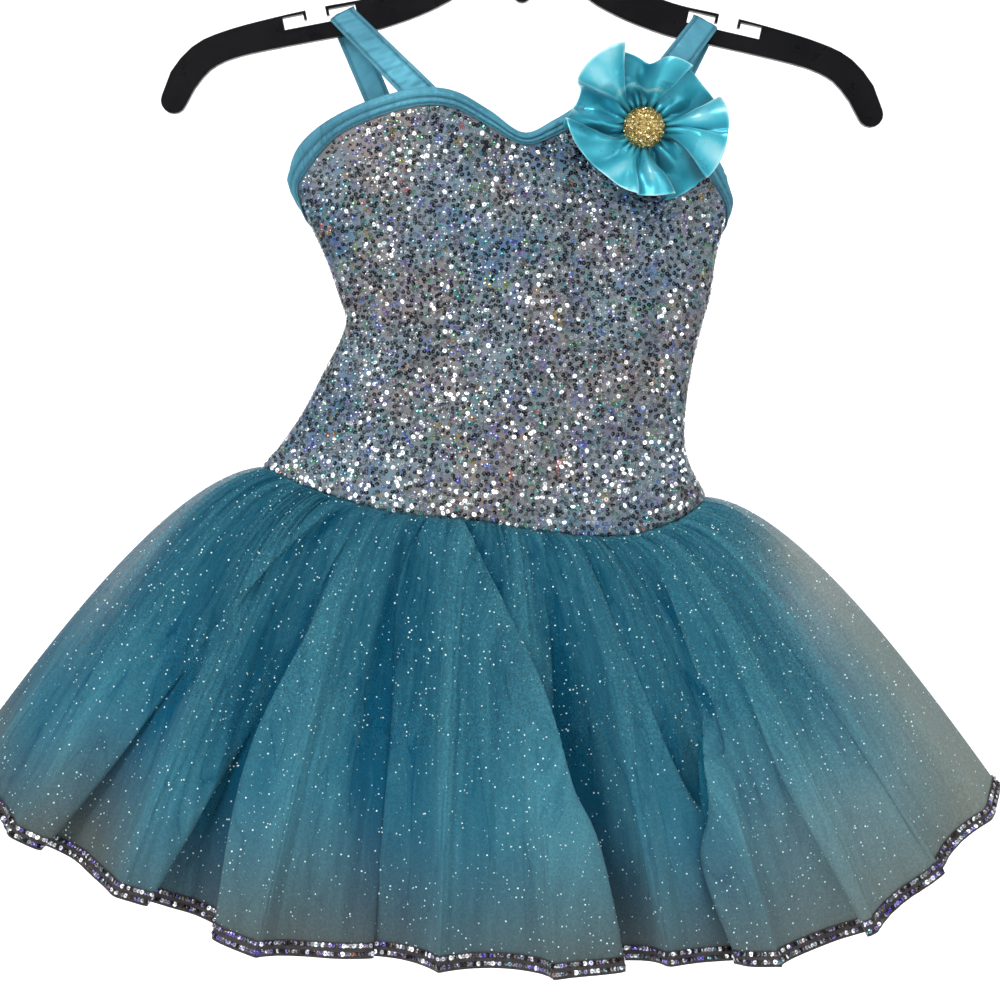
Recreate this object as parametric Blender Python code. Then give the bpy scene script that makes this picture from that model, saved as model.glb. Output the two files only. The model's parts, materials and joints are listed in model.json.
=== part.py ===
# Child's dance leotard with a gathered tulle skirt, hanging by its straps from a notched hanger.
# Sizes are in millimetres. X runs across, Y from the front (-) to the back (+), Z is up.
# The origin is where a rail touches the inside of the hanger's hook.

import math
from collections import namedtuple

import bmesh
import bpy
from mathutils import Vector

MM = 0.001
SEAM = 0.3

# Walls
BODICE_WALL = 1.5
BRIEF_WALL = 1.2
TULLE_WALL = 1.0
BINDING_WALL = 1.0
STRAP_WALL = 1.5
RIBBON_WALL = 1.2
TRIM_WALL = 1.0

# The leotard's body: side edges and depths at each height
Section = namedtuple("Section", "height left right front back")
TORSO = [
    Section(height=-145.0, left=-115.5, right=103.0, front=16.0, back=10.0),
    Section(height=-192.5, left=-116.0, right=103.0, front=19.0, back=11.5),
    Section(height=-205.0, left=-110.5, right=103.5, front=20.0, back=12.0),
    Section(height=-230.0, left=-98.5, right=97.0, front=21.5, back=13.0),
    Section(height=-250.0, left=-91.5, right=94.0, front=22.0, back=14.0),
    Section(height=-264.0, left=-88.0, right=90.0, front=22.5, back=15.0),
    Section(height=-290.0, left=-100.0, right=84.0, front=24.0, back=16.5),
    Section(height=-310.0, left=-110.5, right=81.5, front=26.0, back=18.0),
    Section(height=-325.0, left=-121.0, right=81.5, front=27.5, back=19.0),
    Section(height=-336.0, left=-130.0, right=84.5, front=29.0, back=20.0),
    Section(height=-350.0, left=-135.0, right=91.5, front=30.0, back=21.0),
    Section(height=-375.0, left=-135.0, right=94.0, front=31.0, back=22.0),
]
FRONT_FLATNESS = 0.75  # below 1 the panel is flatter in the middle and turns faster at its sides

# The sweetheart top edge, by the angle round the body, and how deep the binding reaches below it
Edge = namedtuple("Edge", "angle height depth")
FRONT_TOP = [
    Edge(angle=-90.0, height=-201.0, depth=11.0),
    Edge(angle=-76.0, height=-181.0, depth=17.0),
    Edge(angle=-64.0, height=-170.0, depth=17.0),
    Edge(angle=-50.0, height=-160.0, depth=11.5),
    Edge(angle=-36.0, height=-152.0, depth=10.0),
    Edge(angle=-23.0, height=-147.5, depth=9.0),
    Edge(angle=-14.0, height=-149.5, depth=8.5),
    Edge(angle=-5.0, height=-159.0, depth=8.0),
    Edge(angle=4.0, height=-170.0, depth=6.0),
    Edge(angle=12.0, height=-163.5, depth=8.0),
    Edge(angle=22.0, height=-152.5, depth=9.0),
    Edge(angle=32.0, height=-148.0, depth=9.0),
    Edge(angle=46.0, height=-156.0, depth=10.5),
    Edge(angle=60.0, height=-170.5, depth=14.0),
    Edge(angle=76.0, height=-188.0, depth=16.0),
    Edge(angle=90.0, height=-205.0, depth=10.0),
]
BACK_TOP = [
    Edge(angle=90.0, height=-205.0, depth=10.0),
    Edge(angle=110.0, height=-213.0, depth=9.0),
    Edge(angle=145.0, height=-219.0, depth=9.0),
    Edge(angle=180.0, height=-222.0, depth=9.0),
    Edge(angle=215.0, height=-218.0, depth=9.0),
    Edge(angle=250.0, height=-210.0, depth=9.0),
    Edge(angle=270.0, height=-201.0, depth=11.0),
]
# The dropped waist seam, all the way round
Level = namedtuple("Level", "angle height")
WAIST = [
    Level(angle=-90.0, height=-334.0),
    Level(angle=-66.0, height=-337.5),
    Level(angle=-42.0, height=-348.0),
    Level(angle=-22.0, height=-357.0),
    Level(angle=0.0, height=-361.5),
    Level(angle=16.0, height=-366.5),
    Level(angle=36.0, height=-369.0),
    Level(angle=55.0, height=-363.0),
    Level(angle=74.0, height=-354.0),
    Level(angle=90.0, height=-349.0),
    Level(angle=120.0, height=-355.0),
    Level(angle=180.0, height=-362.0),
    Level(angle=240.0, height=-346.0),
    Level(angle=270.0, height=-334.0),
]

# The brief under the skirt. wrap is how far each panel turns round: below 90 a leg opening parts them
Cut = namedtuple("Cut", "height left right front back wrap")
BRIEF_INSET = BODICE_WALL + 3 * SEAM
BRIEF_OVERLAP = 3.0
Tuck = namedtuple("Tuck", "below inset")
BRIEF_TUCKS = [Tuck(below=0.0, inset=0.0), Tuck(below=6.5, inset=5.5)]  # clear of the gathered tulle
BRIEF = [
    Cut(height=-384.0, left=-113.0, right=76.0, front=21.0, back=11.0, wrap=90.0),
    Cut(height=-402.0, left=-111.0, right=72.0, front=21.5, back=12.5, wrap=86.0),
    Cut(height=-425.0, left=-97.0, right=58.0, front=21.5, back=14.0, wrap=72.0),
    Cut(height=-450.0, left=-76.0, right=36.0, front=20.0, back=15.0, wrap=66.0),
    Cut(height=-480.0, left=-57.0, right=18.0, front=14.0, back=11.0, wrap=62.0),
    Cut(height=-508.0, left=-49.0, right=10.0, front=6.5, back=5.5, wrap=58.0),
    Cut(height=-530.0, left=-47.0, right=8.0, front=BRIEF_WALL, back=BRIEF_WALL, wrap=56.0),
]

# The skirt's hem line: its middle, half width and depths, and its height round the front and back
HEM_MIDDLE = -20.0
HEM_HALF_WIDTH = 258.0
HEM_FRONT = 88.0
HEM_BACK = 66.0
HEM = [
    Level(angle=-90.0, height=-480.0),
    Level(angle=-72.0, height=-499.0),
    Level(angle=-56.0, height=-521.0),
    Level(angle=-40.0, height=-543.0),
    Level(angle=-26.0, height=-563.0),
    Level(angle=-10.0, height=-572.0),
    Level(angle=12.0, height=-574.0),
    Level(angle=32.0, height=-572.0),
    Level(angle=44.0, height=-561.0),
    Level(angle=54.0, height=-543.0),
    Level(angle=66.0, height=-519.0),
    Level(angle=78.0, height=-506.0),
    Level(angle=90.0, height=-495.0),
    Level(angle=116.0, height=-528.0),
    Level(angle=146.0, height=-563.0),
    Level(angle=180.0, height=-572.0),
    Level(angle=216.0, height=-560.0),
    Level(angle=246.0, height=-515.0),
    Level(angle=270.0, height=-480.0),
]
# How the skirt leaves the seam and comes down, as shares of its reach and its drop
PUFF_REACH = 0.28
FALL_REACH, FALL_DROP = 0.68, 0.54

# Gathers and folds. place is -1 to 1 across the front or the back, spread is a fold's half width there
COLUMNS_A_GATHER = 4
GATHER_DEPTH = 1.4
GATHER_RISE = 0.1  # the share of the skirt's length at which the gathers are deepest
Fold = namedtuple("Fold", "place lean spread depth")
FRONT_FOLDS = [
    Fold(place=-0.92, lean=-0.01, spread=0.040, depth=9.0),
    Fold(place=-0.76, lean=-0.02, spread=0.050, depth=11.0),
    Fold(place=-0.54, lean=-0.02, spread=0.060, depth=12.0),
    Fold(place=-0.31, lean=-0.01, spread=0.060, depth=17.0),
    Fold(place=-0.06, lean=0.00, spread=0.050, depth=15.0),
    Fold(place=0.09, lean=0.01, spread=0.050, depth=17.0),
    Fold(place=0.26, lean=0.01, spread=0.045, depth=11.0),
    Fold(place=0.43, lean=0.01, spread=0.045, depth=16.0),
    Fold(place=0.59, lean=0.02, spread=0.050, depth=13.0),
    Fold(place=0.75, lean=0.01, spread=0.045, depth=11.0),
    Fold(place=0.90, lean=0.02, spread=0.040, depth=9.0),
]
BACK_FOLDS = [
    Fold(place=-0.90, lean=-0.01, spread=0.050, depth=9.0),
    Fold(place=-0.73, lean=-0.02, spread=0.060, depth=12.0),
    Fold(place=-0.54, lean=0.02, spread=0.055, depth=13.0),
    Fold(place=-0.37, lean=-0.01, spread=0.050, depth=11.0),
    Fold(place=-0.18, lean=0.01, spread=0.060, depth=14.0),
    Fold(place=0.01, lean=-0.02, spread=0.055, depth=12.0),
    Fold(place=0.20, lean=0.02, spread=0.055, depth=14.0),
    Fold(place=0.38, lean=0.01, spread=0.050, depth=11.0),
    Fold(place=0.56, lean=-0.01, spread=0.060, depth=13.0),
    Fold(place=0.75, lean=0.02, spread=0.055, depth=12.0),
    Fold(place=0.91, lean=0.01, spread=0.045, depth=9.0),
]
FOLD_HANG = 0.3  # a fold's crest hangs this share of its depth lower than the hem line
FOLD_REST = 5.0  # how far the valleys lie inside the smooth skirt at the hem
FOLD_RISE = 1.2  # above 1 the folds open mostly near the hem
HEM_FLATNESS = 0.85

# Tulle layers, from the outside in. inset is how far a layer lies under the first one at the seam,
# spread is how much narrower its hem is
# rows are shares of the skirt's length, down to the layer's own hem
Layer = namedtuple("Layer", "name front_columns back_columns rows inset spread fold_share")
TOP_ROWS = [0.0, 0.04, 0.13, 0.30, 0.54, 0.78, 0.975, 1.0]
MIDDLE_ROWS = [0.0, 0.08, 0.30, 0.57, 0.87]
UNDER_ROWS = [0.0, 0.08, 0.30, 0.57, 0.79]
LAYER_STEP = TULLE_WALL + 3 * SEAM
SEAM_STEP = 0.35  # how far further in each layer starts at the seam, as a share of its inset
SPREAD_DEPTH = 0.8  # how much of the spread the hem's depths take
LAYERS = [
    Layer("skirt_top", 96, 72, TOP_ROWS, 0.0, 0.0, 1.0),
    Layer("skirt_middle", 48, 36, MIDDLE_ROWS, LAYER_STEP, 12.0, 0.7),
    Layer("skirt_under", 48, 36, UNDER_ROWS, 2.4 * LAYER_STEP, 24.0, 0.5),
]

# The satin ribbon flower and its button
FLOWER_X, FLOWER_Z = 60.0, -168.5
FLOWER_HOLE = 5.0
FLOWER_LOW = 3.0  # how far the ribbon's inner edge stands off the bodice
# The ribbon's rim: its distance from the flower's middle, and how far it stands off the bodice
Rim = namedtuple("Rim", "angle radius stand")
FLOWER_RIM = [
    Rim(angle=-6, radius=40.5, stand=18.0),
    Rim(angle=8, radius=41.0, stand=16.5),
    Rim(angle=20, radius=39.0, stand=10.5),
    Rim(angle=38, radius=36.0, stand=17.0),
    Rim(angle=54, radius=37.0, stand=21.0),
    Rim(angle=70, radius=35.5, stand=15.0),
    Rim(angle=86, radius=31.0, stand=11.5),
    Rim(angle=104, radius=40.0, stand=16.5),
    Rim(angle=122, radius=41.0, stand=19.5),
    Rim(angle=140, radius=40.5, stand=16.5),
    Rim(angle=158, radius=35.5, stand=10.0),
    Rim(angle=176, radius=40.0, stand=17.0),
    Rim(angle=192, radius=36.0, stand=13.0),
    Rim(angle=212, radius=32.5, stand=17.0),
    Rim(angle=234, radius=31.5, stand=20.0),
    Rim(angle=256, radius=33.5, stand=18.0),
    Rim(angle=272, radius=34.5, stand=14.0),
    Rim(angle=290, radius=36.5, stand=9.5),
    Rim(angle=308, radius=38.0, stand=14.5),
    Rim(angle=322, radius=39.5, stand=15.0),
    Rim(angle=338, radius=41.0, stand=11.5),
    Rim(angle=354, radius=40.5, stand=18.0),
    Rim(angle=368, radius=41.0, stand=16.5),
]
RIBBON_CUP = 0.55  # above 0 the ribbon rises quickly near the button and levels out by its rim
RIBBON_GATHERS, RIBBON_GATHER_DEPTH = 18, 0.9
FLOWER_COLUMNS = 72
FLOWER_ROWS = [0.0, 0.22, 0.5, 0.8, 1.0]
BUTTON_RADIUS, BUTTON_DOME, BUTTON_RIM = 10.0, 6.5, 0.8
BUTTON_BACK = 7.6  # how far its flat back stands off the bodice
BUTTON_SIDES, DOME_RINGS = 20, 4

# The hanger: its middle line, out from the centre, and the width of the arm there
Station = namedtuple("Station", "out height width")
HANGER = [
    Station(out=0.0, height=-73.0, width=22.0),
    Station(out=20.0, height=-79.0, width=20.0),
    Station(out=42.0, height=-97.3, width=16.5),
    Station(out=71.0, height=-109.6, width=16.3),
    Station(out=98.0, height=-115.5, width=16.0),
    Station(out=122.0, height=-120.9, width=15.2),
    Station(out=146.0, height=-127.4, width=14.2),
    Station(out=160.0, height=-134.4, width=14.6),
    Station(out=170.0, height=-146.5, width=14.4),
    Station(out=174.0, height=-156.0, width=12.8),
]
HANGER_LEAN = 0.0196  # the hanger hangs a little lower on its right, by this for each step across
HANGER_THICK = 5.0
HANGER_STEPS = 38
TIP_STEPS = 8
TAB_HALF_WIDTH, TAB_BOTTOM = 4.5, -103.5
# The notch that holds a strap, along the arm from its middle: its two lips each end in a small tooth
NOTCH_OUT, NOTCH_TILT = 101.7, 12.0
NOTCH_IN, NOTCH_OUTER, NOTCH_MOUTH = 20.0, 17.0, 5.0
NOTCH_TOP, NOTCH_FLOOR = 6.4, 0.2
TOOTH_WIDTH, TOOTH_DEPTH = 1.5, 3.0

HOOK_INSIDE = 19.0
HOOK_WIRE = 1.75
HOOK_SOCKET = 12.0

# Each strap: where it crosses the hanger, where it meets the front edge, and where it meets the back edge
Strap = namedtuple("Strap", "name hanger_x front_x front_z back_x back_z")
STRAPS = [
    Strap("strap_left", -89.8, -51.5, -149.0, -43.5, -219.0),
    Strap("strap_right", 91.5, 61.5, -154.0, 40.0, -219.0),
]
STRAP_TUCK = 9.0
STRAP_HALF = 5.9
STRAP_TOP_SLOPE, STRAP_FRONT_SLOPE, STRAP_BACK_SLOPE = 0.54, 0.80, 0.42


def read(table, key, column, at):
    """A table's column at any value of its key column, on a smooth curve through the rows."""
    rows = sorted(table, key=lambda row: getattr(row, key))
    keys = [getattr(row, key) for row in rows]
    values = [getattr(row, column) for row in rows]
    at = min(max(at, keys[0]), keys[-1])
    i = max(n for n in range(len(keys) - 1) if keys[n] <= at)
    slopes = []
    for n in (i, i + 1):
        a, b = max(n - 1, 0), min(n + 1, len(keys) - 1)
        slopes.append((values[b] - values[a]) / (keys[b] - keys[a]))
    span = keys[i + 1] - keys[i]
    t = (at - keys[i]) / span
    return (
        values[i] * (1 + 2 * t) * (1 - t) ** 2
        + slopes[0] * span * t * (1 - t) ** 2
        + values[i + 1] * t * t * (3 - 2 * t)
        + slopes[1] * span * t * t * (t - 1)
    )


def angle_at(place, back):
    """The angle round the body for a place from -1 to 1 across a panel, nearly even in distance."""
    turn = 0.5 * (math.asin(place) + math.pi / 2 * place)
    return math.degrees(math.pi - turn if back else turn)


def rounded(angle, flatness):
    """How far forward (+) or back (-) a loop lies at an angle, as a share of its depth."""
    c = math.cos(math.radians(angle))
    return math.copysign(abs(c) ** flatness, c)


def torso(angle, height, inset, back):
    """A point of the leotard's body. An inset moves it inwards."""
    left = read(TORSO, "height", "left", height)
    right = read(TORSO, "height", "right", height)
    depth = read(TORSO, "height", "back" if back else "front", height) - inset
    x = (left + right) / 2 + ((right - left) / 2 - inset) * math.sin(math.radians(angle))
    y = -depth * rounded(angle, FRONT_FLATNESS) + (SEAM / 2 if back else -SEAM / 2)
    return Vector((x, y, height))


def material(name, color, roughness, metallic=0.0):
    made = bpy.data.materials.new(name)
    made.use_nodes = True
    shader = made.node_tree.nodes["Principled BSDF"]
    shader.inputs["Base Color"].default_value = (*color, 1.0)
    shader.inputs["Roughness"].default_value = roughness
    shader.inputs["Metallic"].default_value = metallic
    return made


def add_mesh(name, points, faces, look):
    """One closed body from points in millimetres."""
    mesh = bpy.data.meshes.new(name)
    mesh.from_pydata([p * MM for p in points], [], faces)
    mesh.materials.append(look)
    mesh.shade_smooth()
    mesh.set_sharp_from_angle(angle=math.radians(50))
    made = bpy.data.objects.new(name, mesh)
    bpy.context.scene.collection.objects.link(made)
    return made


def wall(name, look, outside, inside, loop=False, turned=()):
    """A cloth wall between two grids of points, rows down and columns to the right as seen from outside.

    The rows in turned have their triangles cut along the other diagonal.
    """
    rows, columns = len(outside), len(outside[0])
    points = [p for grid in (outside, inside) for row in grid for p in row]
    steps = columns if loop else columns - 1

    def at(side, row, column):
        return side * rows * columns + row * columns + column % columns

    faces = []

    def quad(a, b, c, d):
        faces.extend([(a, b, c), (a, c, d)])

    for r in range(rows - 1):
        for c in range(steps):
            a, b, far, d = at(0, r, c), at(0, r + 1, c), at(0, r + 1, c + 1), at(0, r, c + 1)
            e, f, g, h = at(1, r, c), at(1, r, c + 1), at(1, r + 1, c + 1), at(1, r + 1, c)
            if r in turned:
                quad(b, far, d, a)
                quad(f, g, h, e)
            else:
                quad(a, b, far, d)
                quad(e, f, g, h)
    last, end = rows - 1, columns - 1
    for c in range(steps):
        quad(at(1, 0, c), at(0, 0, c), at(0, 0, c + 1), at(1, 0, c + 1))
        quad(at(0, last, c), at(1, last, c), at(1, last, c + 1), at(0, last, c + 1))
    if not loop:
        for r in range(last):
            quad(at(1, r, 0), at(1, r + 1, 0), at(0, r + 1, 0), at(0, r, 0))
            quad(at(0, r, end), at(0, r + 1, end), at(1, r + 1, end), at(1, r, end))
    add_mesh(name, points, faces, look)


def places(columns, back):
    """Places across a panel, from left to right as seen from outside it."""
    across = [-1 + 2 * c / columns for c in range(columns + 1)]
    return across[::-1] if back else across


def bodice_panel(name, look, top, back, columns, rows):
    """The front or back of the bodice, from its bound top edge down to the waist seam."""
    angles = [angle_at(place, back) for place in places(columns, back)]

    def column(angle, inset):
        edge = read(top, "angle", "height", angle)
        foot = edge - read(top, "angle", "depth", angle)
        waist = read(WAIST, "angle", "height", angle)
        heights = [edge - BINDING_WALL - 2 * SEAM]
        heights += [foot + (waist - foot) * r / rows for r in range(rows + 1)]
        return [torso(angle, height, inset, back) for height in heights]

    def grid(inset):
        return list(zip(*[column(angle, inset) for angle in angles]))

    wall(name, look, grid(0.0), grid(BODICE_WALL))


def binding(name, look, top, back, columns):
    """The satin binding: a strip folded over the edge, one leg inside the panel and one outside it."""
    angles = [angle_at(place, back) for place in places(columns, back)]

    def grid(clear, lid):
        rows = [[], [], [], []]
        for angle in angles:
            edge = read(top, "angle", "height", angle)
            foot = edge - read(top, "angle", "depth", angle)
            inner, outer, high = BODICE_WALL + clear, -clear, edge - lid
            for row, (inset, height) in zip(
                rows, [(inner, foot), (inner, high), (outer, high), (outer, foot)]
            ):
                row.append(torso(angle, height, inset, back))
        return rows

    wall(name, look, grid(SEAM + BINDING_WALL, 0.0), grid(SEAM, BINDING_WALL), turned=(0,))


def sweep(name, look, rings):
    """A closed body through rings of points. Each ring turns the same way."""
    sides = len(rings[0])
    points = [p for ring in rings for p in ring]
    faces = []
    for r in range(len(rings) - 1):
        for s in range(sides):
            a, b = r * sides + s, r * sides + (s + 1) % sides
            faces.append((a, a + sides, b + sides, b))
    faces.append(tuple(range(sides)))
    faces.append(tuple((len(rings) - 1) * sides + s for s in reversed(range(sides))))
    made = add_mesh(name, points, faces, look)
    turn_outwards(made)


def turn_outwards(made):
    body = bmesh.new()
    body.from_mesh(made.data)
    bmesh.ops.recalc_face_normals(body, faces=body.faces)
    bmesh.ops.triangulate(body, faces=body.faces)
    body.to_mesh(made.data)
    body.free()


def brief_panel(name, look, back, columns, rows):
    """The front or back of the brief, from inside the waist seam to the crotch seam."""

    def low_point(angle, level, inset):
        left, right = (read(BRIEF, "height", side, level) for side in ("left", "right"))
        depth = read(BRIEF, "height", "back" if back else "front", level) - inset
        wrap = read(BRIEF, "height", "wrap", level)
        turn = math.radians(angle - 180 if back else angle) * wrap / 90
        reach = math.sin(turn) / math.sin(math.radians(wrap)) * (-1 if back else 1)
        x = (left + right) / 2 + ((right - left) / 2 - inset * (wrap / 90) ** 4) * reach
        y = depth * abs(math.cos(turn)) ** FRONT_FLATNESS + SEAM / 2
        return Vector((x, y if back else -y, level))

    def column(angle, inset):
        waist = read(WAIST, "angle", "height", angle)
        line = [torso(angle, waist + BRIEF_OVERLAP, BRIEF_INSET + inset, back)]
        for tuck in BRIEF_TUCKS:
            point = torso(angle, waist, BRIEF_INSET + tuck.inset + inset, back)
            line.append(point - Vector((0.0, 0.0, tuck.below)))
        top, bottom = BRIEF[0].height, BRIEF[-1].height
        levels = [top + (bottom - top) * r / rows for r in range(rows + 1)]
        return line + [low_point(angle, level, inset) for level in levels]

    def grid(inset):
        return list(zip(*[column(angle_at(place, back), inset) for place in places(columns, back)]))

    wall(name, look, grid(0.0), grid(BRIEF_WALL))


def skirt_base(place, share, back, layer):
    """A point of a smooth layer: place across the front or back, share down from the seam to the hem."""
    angle = angle_at(place, back)
    waist = read(WAIST, "angle", "height", angle)
    seam = torso(angle, waist, BODICE_WALL + SEAM_STEP * layer.inset, back)
    seam.z -= 4 * SEAM
    depth = (HEM_BACK if back else HEM_FRONT) - SPREAD_DEPTH * layer.spread
    hem = Vector((
        HEM_MIDDLE + (HEM_HALF_WIDTH - layer.spread) * math.sin(math.radians(angle)),
        -depth * rounded(angle, HEM_FLATNESS) + (SEAM / 2 if back else -SEAM / 2),
        read(HEM, "angle", "height", angle),
    ))
    reach = Vector((hem.x - seam.x, hem.y - seam.y, 0.0))
    drop = Vector((0.0, 0.0, seam.z - hem.z))
    puff = seam + reach * PUFF_REACH
    fall = seam + reach * FALL_REACH - drop * FALL_DROP
    t = share
    return (
        seam * (1 - t) ** 3
        + puff * 3 * t * (1 - t) ** 2
        + fall * 3 * t * t * (1 - t)
        + hem * t**3
    )


def skirt_out(place, share, back, layer):
    """The way out of a smooth layer. At a side seam it keeps to the seam's plane."""
    step = 0.004
    left, right = max(place - step, -1.0), min(place + step, 1.0)
    high, low = max(share - step, 0.0), min(share + step, 1.0)
    down = skirt_base(place, low, back, layer) - skirt_base(place, high, back, layer)
    along = skirt_base(right, share, back, layer) - skirt_base(left, share, back, layer)
    out = along.cross(down) if back else down.cross(along)
    if abs(place) == 1.0:
        out.y = 0.0
    return out.normalized()


def skirt_point(place, share, back, layer):
    """A point of a tulle layer's outer side, with its gathers and folds."""
    waves = (layer.back_columns if back else layer.front_columns) / COLUMNS_A_GATHER
    gathers = 0.0
    if layer is LAYERS[0]:
        gathers = GATHER_DEPTH * min(share / GATHER_RISE, 1.0) * (1 - 0.7 * share)
        gathers *= math.sin(math.pi * waves * (place + 1))
    deep = -FOLD_REST
    for fold in BACK_FOLDS if back else FRONT_FOLDS:
        away = (place - fold.place - fold.lean * share) / fold.spread
        deep += fold.depth * math.exp(-away * away)
    deep *= (1 - place**8) * share**FOLD_RISE * layer.fold_share
    point = skirt_base(place, share, back, layer)
    point.z -= FOLD_HANG * deep * share
    return point + skirt_out(place, share, back, layer) * (gathers + deep - layer.inset)


def skirt_grid(layer, back):
    columns = layer.back_columns if back else layer.front_columns
    return [
        [skirt_point(place, share, back, layer) for place in places(columns, back)]
        for share in layer.rows
    ]


def moved_out(grid, distance):
    """A grid moved along its own surface's normals. Its end columns keep to the side seams' plane."""
    rows, columns = len(grid), len(grid[0])
    moved = []
    for r in range(rows):
        line = []
        for c in range(columns):
            down = grid[min(r + 1, rows - 1)][c] - grid[max(r - 1, 0)][c]
            along = grid[r][min(c + 1, columns - 1)] - grid[r][max(c - 1, 0)]
            out = down.cross(along)
            if c in (0, columns - 1):
                out.y = 0.0
            line.append(grid[r][c] + out.normalized() * distance)
        moved.append(line)
    return moved


def skirt_layer(layer, look, back):
    outside = skirt_grid(layer, back)
    name = layer.name + ("_back" if back else "_front")
    wall(name, look, outside, moved_out(outside, -TULLE_WALL))


def hem_trim(look, back):
    """The band of sequin trim sewn on the outside of the top layer's hem."""
    hem = skirt_grid(LAYERS[0], back)
    outside, inside = (moved_out(hem, out)[-2:] for out in (SEAM + TRIM_WALL, SEAM))
    wall("hem_trim_back" if back else "hem_trim_front", look, outside, inside)


def hanger_line(out):
    """The arm's middle and its width, out from the centre."""
    return (
        Vector((out, 0.0, read(HANGER, "out", "height", out))),
        read(HANGER, "out", "width", out),
    )


def strap(item, look):
    """A strap from inside the front edge, up over the hanger's notch and down inside the back edge."""
    rise = -math.copysign(1.0, item.hanger_x)
    arm = HANGER_THICK / 2 + SEAM
    rests_at = item.hanger_x - rise * STRAP_HALF
    seat = notch_floor(abs(rests_at)) - HANGER_LEAN * rests_at + STRAP_TOP_SLOPE * STRAP_HALF
    tucked = BODICE_WALL + 2 * SEAM + BINDING_WALL
    rings = []

    def sewn(p, back, inset):
        angle = torso_angle(p.x, p.z)
        return torso(180 - angle if back else angle, p.z, inset, back).y

    def ring(x, z, slope, outer, inner, lift=(0.0, 0.0)):
        ends = [
            Vector((x + end * STRAP_HALF, 0.0, z + rise * slope * end * STRAP_HALF)) for end in (-1, 1)
        ]
        around = [(ends[0], outer, 0), (ends[1], outer, 0), (ends[1], inner, 1), (ends[0], inner, 1)]
        rings.append([
            Vector((p.x, y(p) if callable(y) else y, p.z + lift[side])) for p, y, side in around
        ])

    def hem_ring(x, z, back):
        slope = STRAP_BACK_SLOPE if back else STRAP_FRONT_SLOPE
        ring(x, z, slope, lambda p: sewn(p, back, tucked), lambda p: sewn(p, back, tucked + STRAP_WALL))

    def free_leg(x, z, back):
        """Rings between the edge and the hanger, nearest the edge first."""
        side = 1 if back else -1
        end_slope = STRAP_BACK_SLOPE if back else STRAP_FRONT_SLOPE
        start = sewn(Vector((x, 0.0, z)), back, tucked)
        steps = 3
        legs = []
        for n in range(1, steps):
            t = n / steps
            outer = start + (side * (arm + STRAP_WALL) - start) * t
            legs.append((
                x + (item.hanger_x - x) * t,
                z + (seat - z) * t,
                end_slope + (STRAP_TOP_SLOPE - end_slope) * t,
                outer,
                outer - side * STRAP_WALL,
            ))
        return legs

    def tail(x, z, back):
        run = (x - item.hanger_x) / (seat - z)
        return x + run * STRAP_TUCK, z - STRAP_TUCK

    hem_ring(*tail(item.front_x, item.front_z, False), False)
    hem_ring(item.front_x, item.front_z, False)
    for leg in free_leg(item.front_x, item.front_z, False):
        ring(*leg)
    for turn in (0, 45, 90, 135, 180):
        c, s = math.cos(math.radians(turn)), math.sin(math.radians(turn))
        ring(
            item.hanger_x, seat, STRAP_TOP_SLOPE, -(arm + STRAP_WALL) * c, -arm * c,
            lift=((SEAM + STRAP_WALL) * s, SEAM * s),
        )
    for leg in reversed(free_leg(item.back_x, item.back_z, True)):
        ring(*leg)
    hem_ring(item.back_x, item.back_z, True)
    hem_ring(*tail(item.back_x, item.back_z, True), True)
    sweep(item.name, look, rings)


def torso_angle(x, height):
    left = read(TORSO, "height", "left", height)
    right = read(TORSO, "height", "right", height)
    share = (x - (left + right) / 2) / ((right - left) / 2)
    return math.degrees(math.asin(max(-1.0, min(1.0, share))))


def notch_frame():
    """The notch's middle on the arm's line, and the directions out along the arm and up from it."""
    middle, _ = hanger_line(NOTCH_OUT)
    tilt = math.radians(NOTCH_TILT)
    along = Vector((math.cos(tilt), 0.0, -math.sin(tilt)))
    return middle, along, Vector((math.sin(tilt), 0.0, math.cos(tilt)))


def notch_floor(out):
    """The height of the notch's floor at a distance out from the hanger's centre."""
    middle, along, up = notch_frame()
    start = middle + up * NOTCH_FLOOR
    return start.z + (out - start.x) * along.z / along.x


def leaning(p):
    return Vector((p.x, p.y, p.z - HANGER_LEAN * p.x))


def notch_cutter(side):
    """A slot under two toothed lips, open in its middle."""
    middle, along, up = notch_frame()
    over = HANGER_THICK * 3
    teeth = NOTCH_TOP - TOOTH_DEPTH
    outline = [
        (-NOTCH_IN, NOTCH_FLOOR), (NOTCH_OUTER, NOTCH_FLOOR), (NOTCH_OUTER, NOTCH_TOP),
        (NOTCH_MOUTH + TOOTH_WIDTH, NOTCH_TOP), (NOTCH_MOUTH + TOOTH_WIDTH, teeth),
        (NOTCH_MOUTH, teeth), (NOTCH_MOUTH, over), (-NOTCH_MOUTH, over), (-NOTCH_MOUTH, teeth),
        (-NOTCH_MOUTH - TOOTH_WIDTH, teeth), (-NOTCH_MOUTH - TOOTH_WIDTH, NOTCH_TOP),
        (-NOTCH_IN, NOTCH_TOP),
    ]
    points = []
    for a, b in outline:
        p = middle + along * a + up * b
        points.append(leaning(Vector((p.x * side, 0.0, p.z))))
    return slab("cutter_notch", points, HANGER_THICK * 2, None)


def slab(name, outline, thick, look):
    """A flat outline in the XZ plane, extruded along Y about the plane."""
    body = bmesh.new()
    corners = [body.verts.new((p.x * MM, -thick / 2 * MM, p.z * MM)) for p in outline]
    face = body.faces.new(corners)
    grown = bmesh.ops.extrude_face_region(body, geom=[face])
    moved = [v for v in grown["geom"] if isinstance(v, bmesh.types.BMVert)]
    bmesh.ops.translate(body, verts=moved, vec=(0.0, thick * MM, 0.0))
    bmesh.ops.recalc_face_normals(body, faces=body.faces)
    mesh = bpy.data.meshes.new(name)
    body.to_mesh(mesh)
    body.free()
    if look:
        mesh.materials.append(look)
    made = bpy.data.objects.new(name, mesh)
    bpy.context.scene.collection.objects.link(made)
    return made


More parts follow.
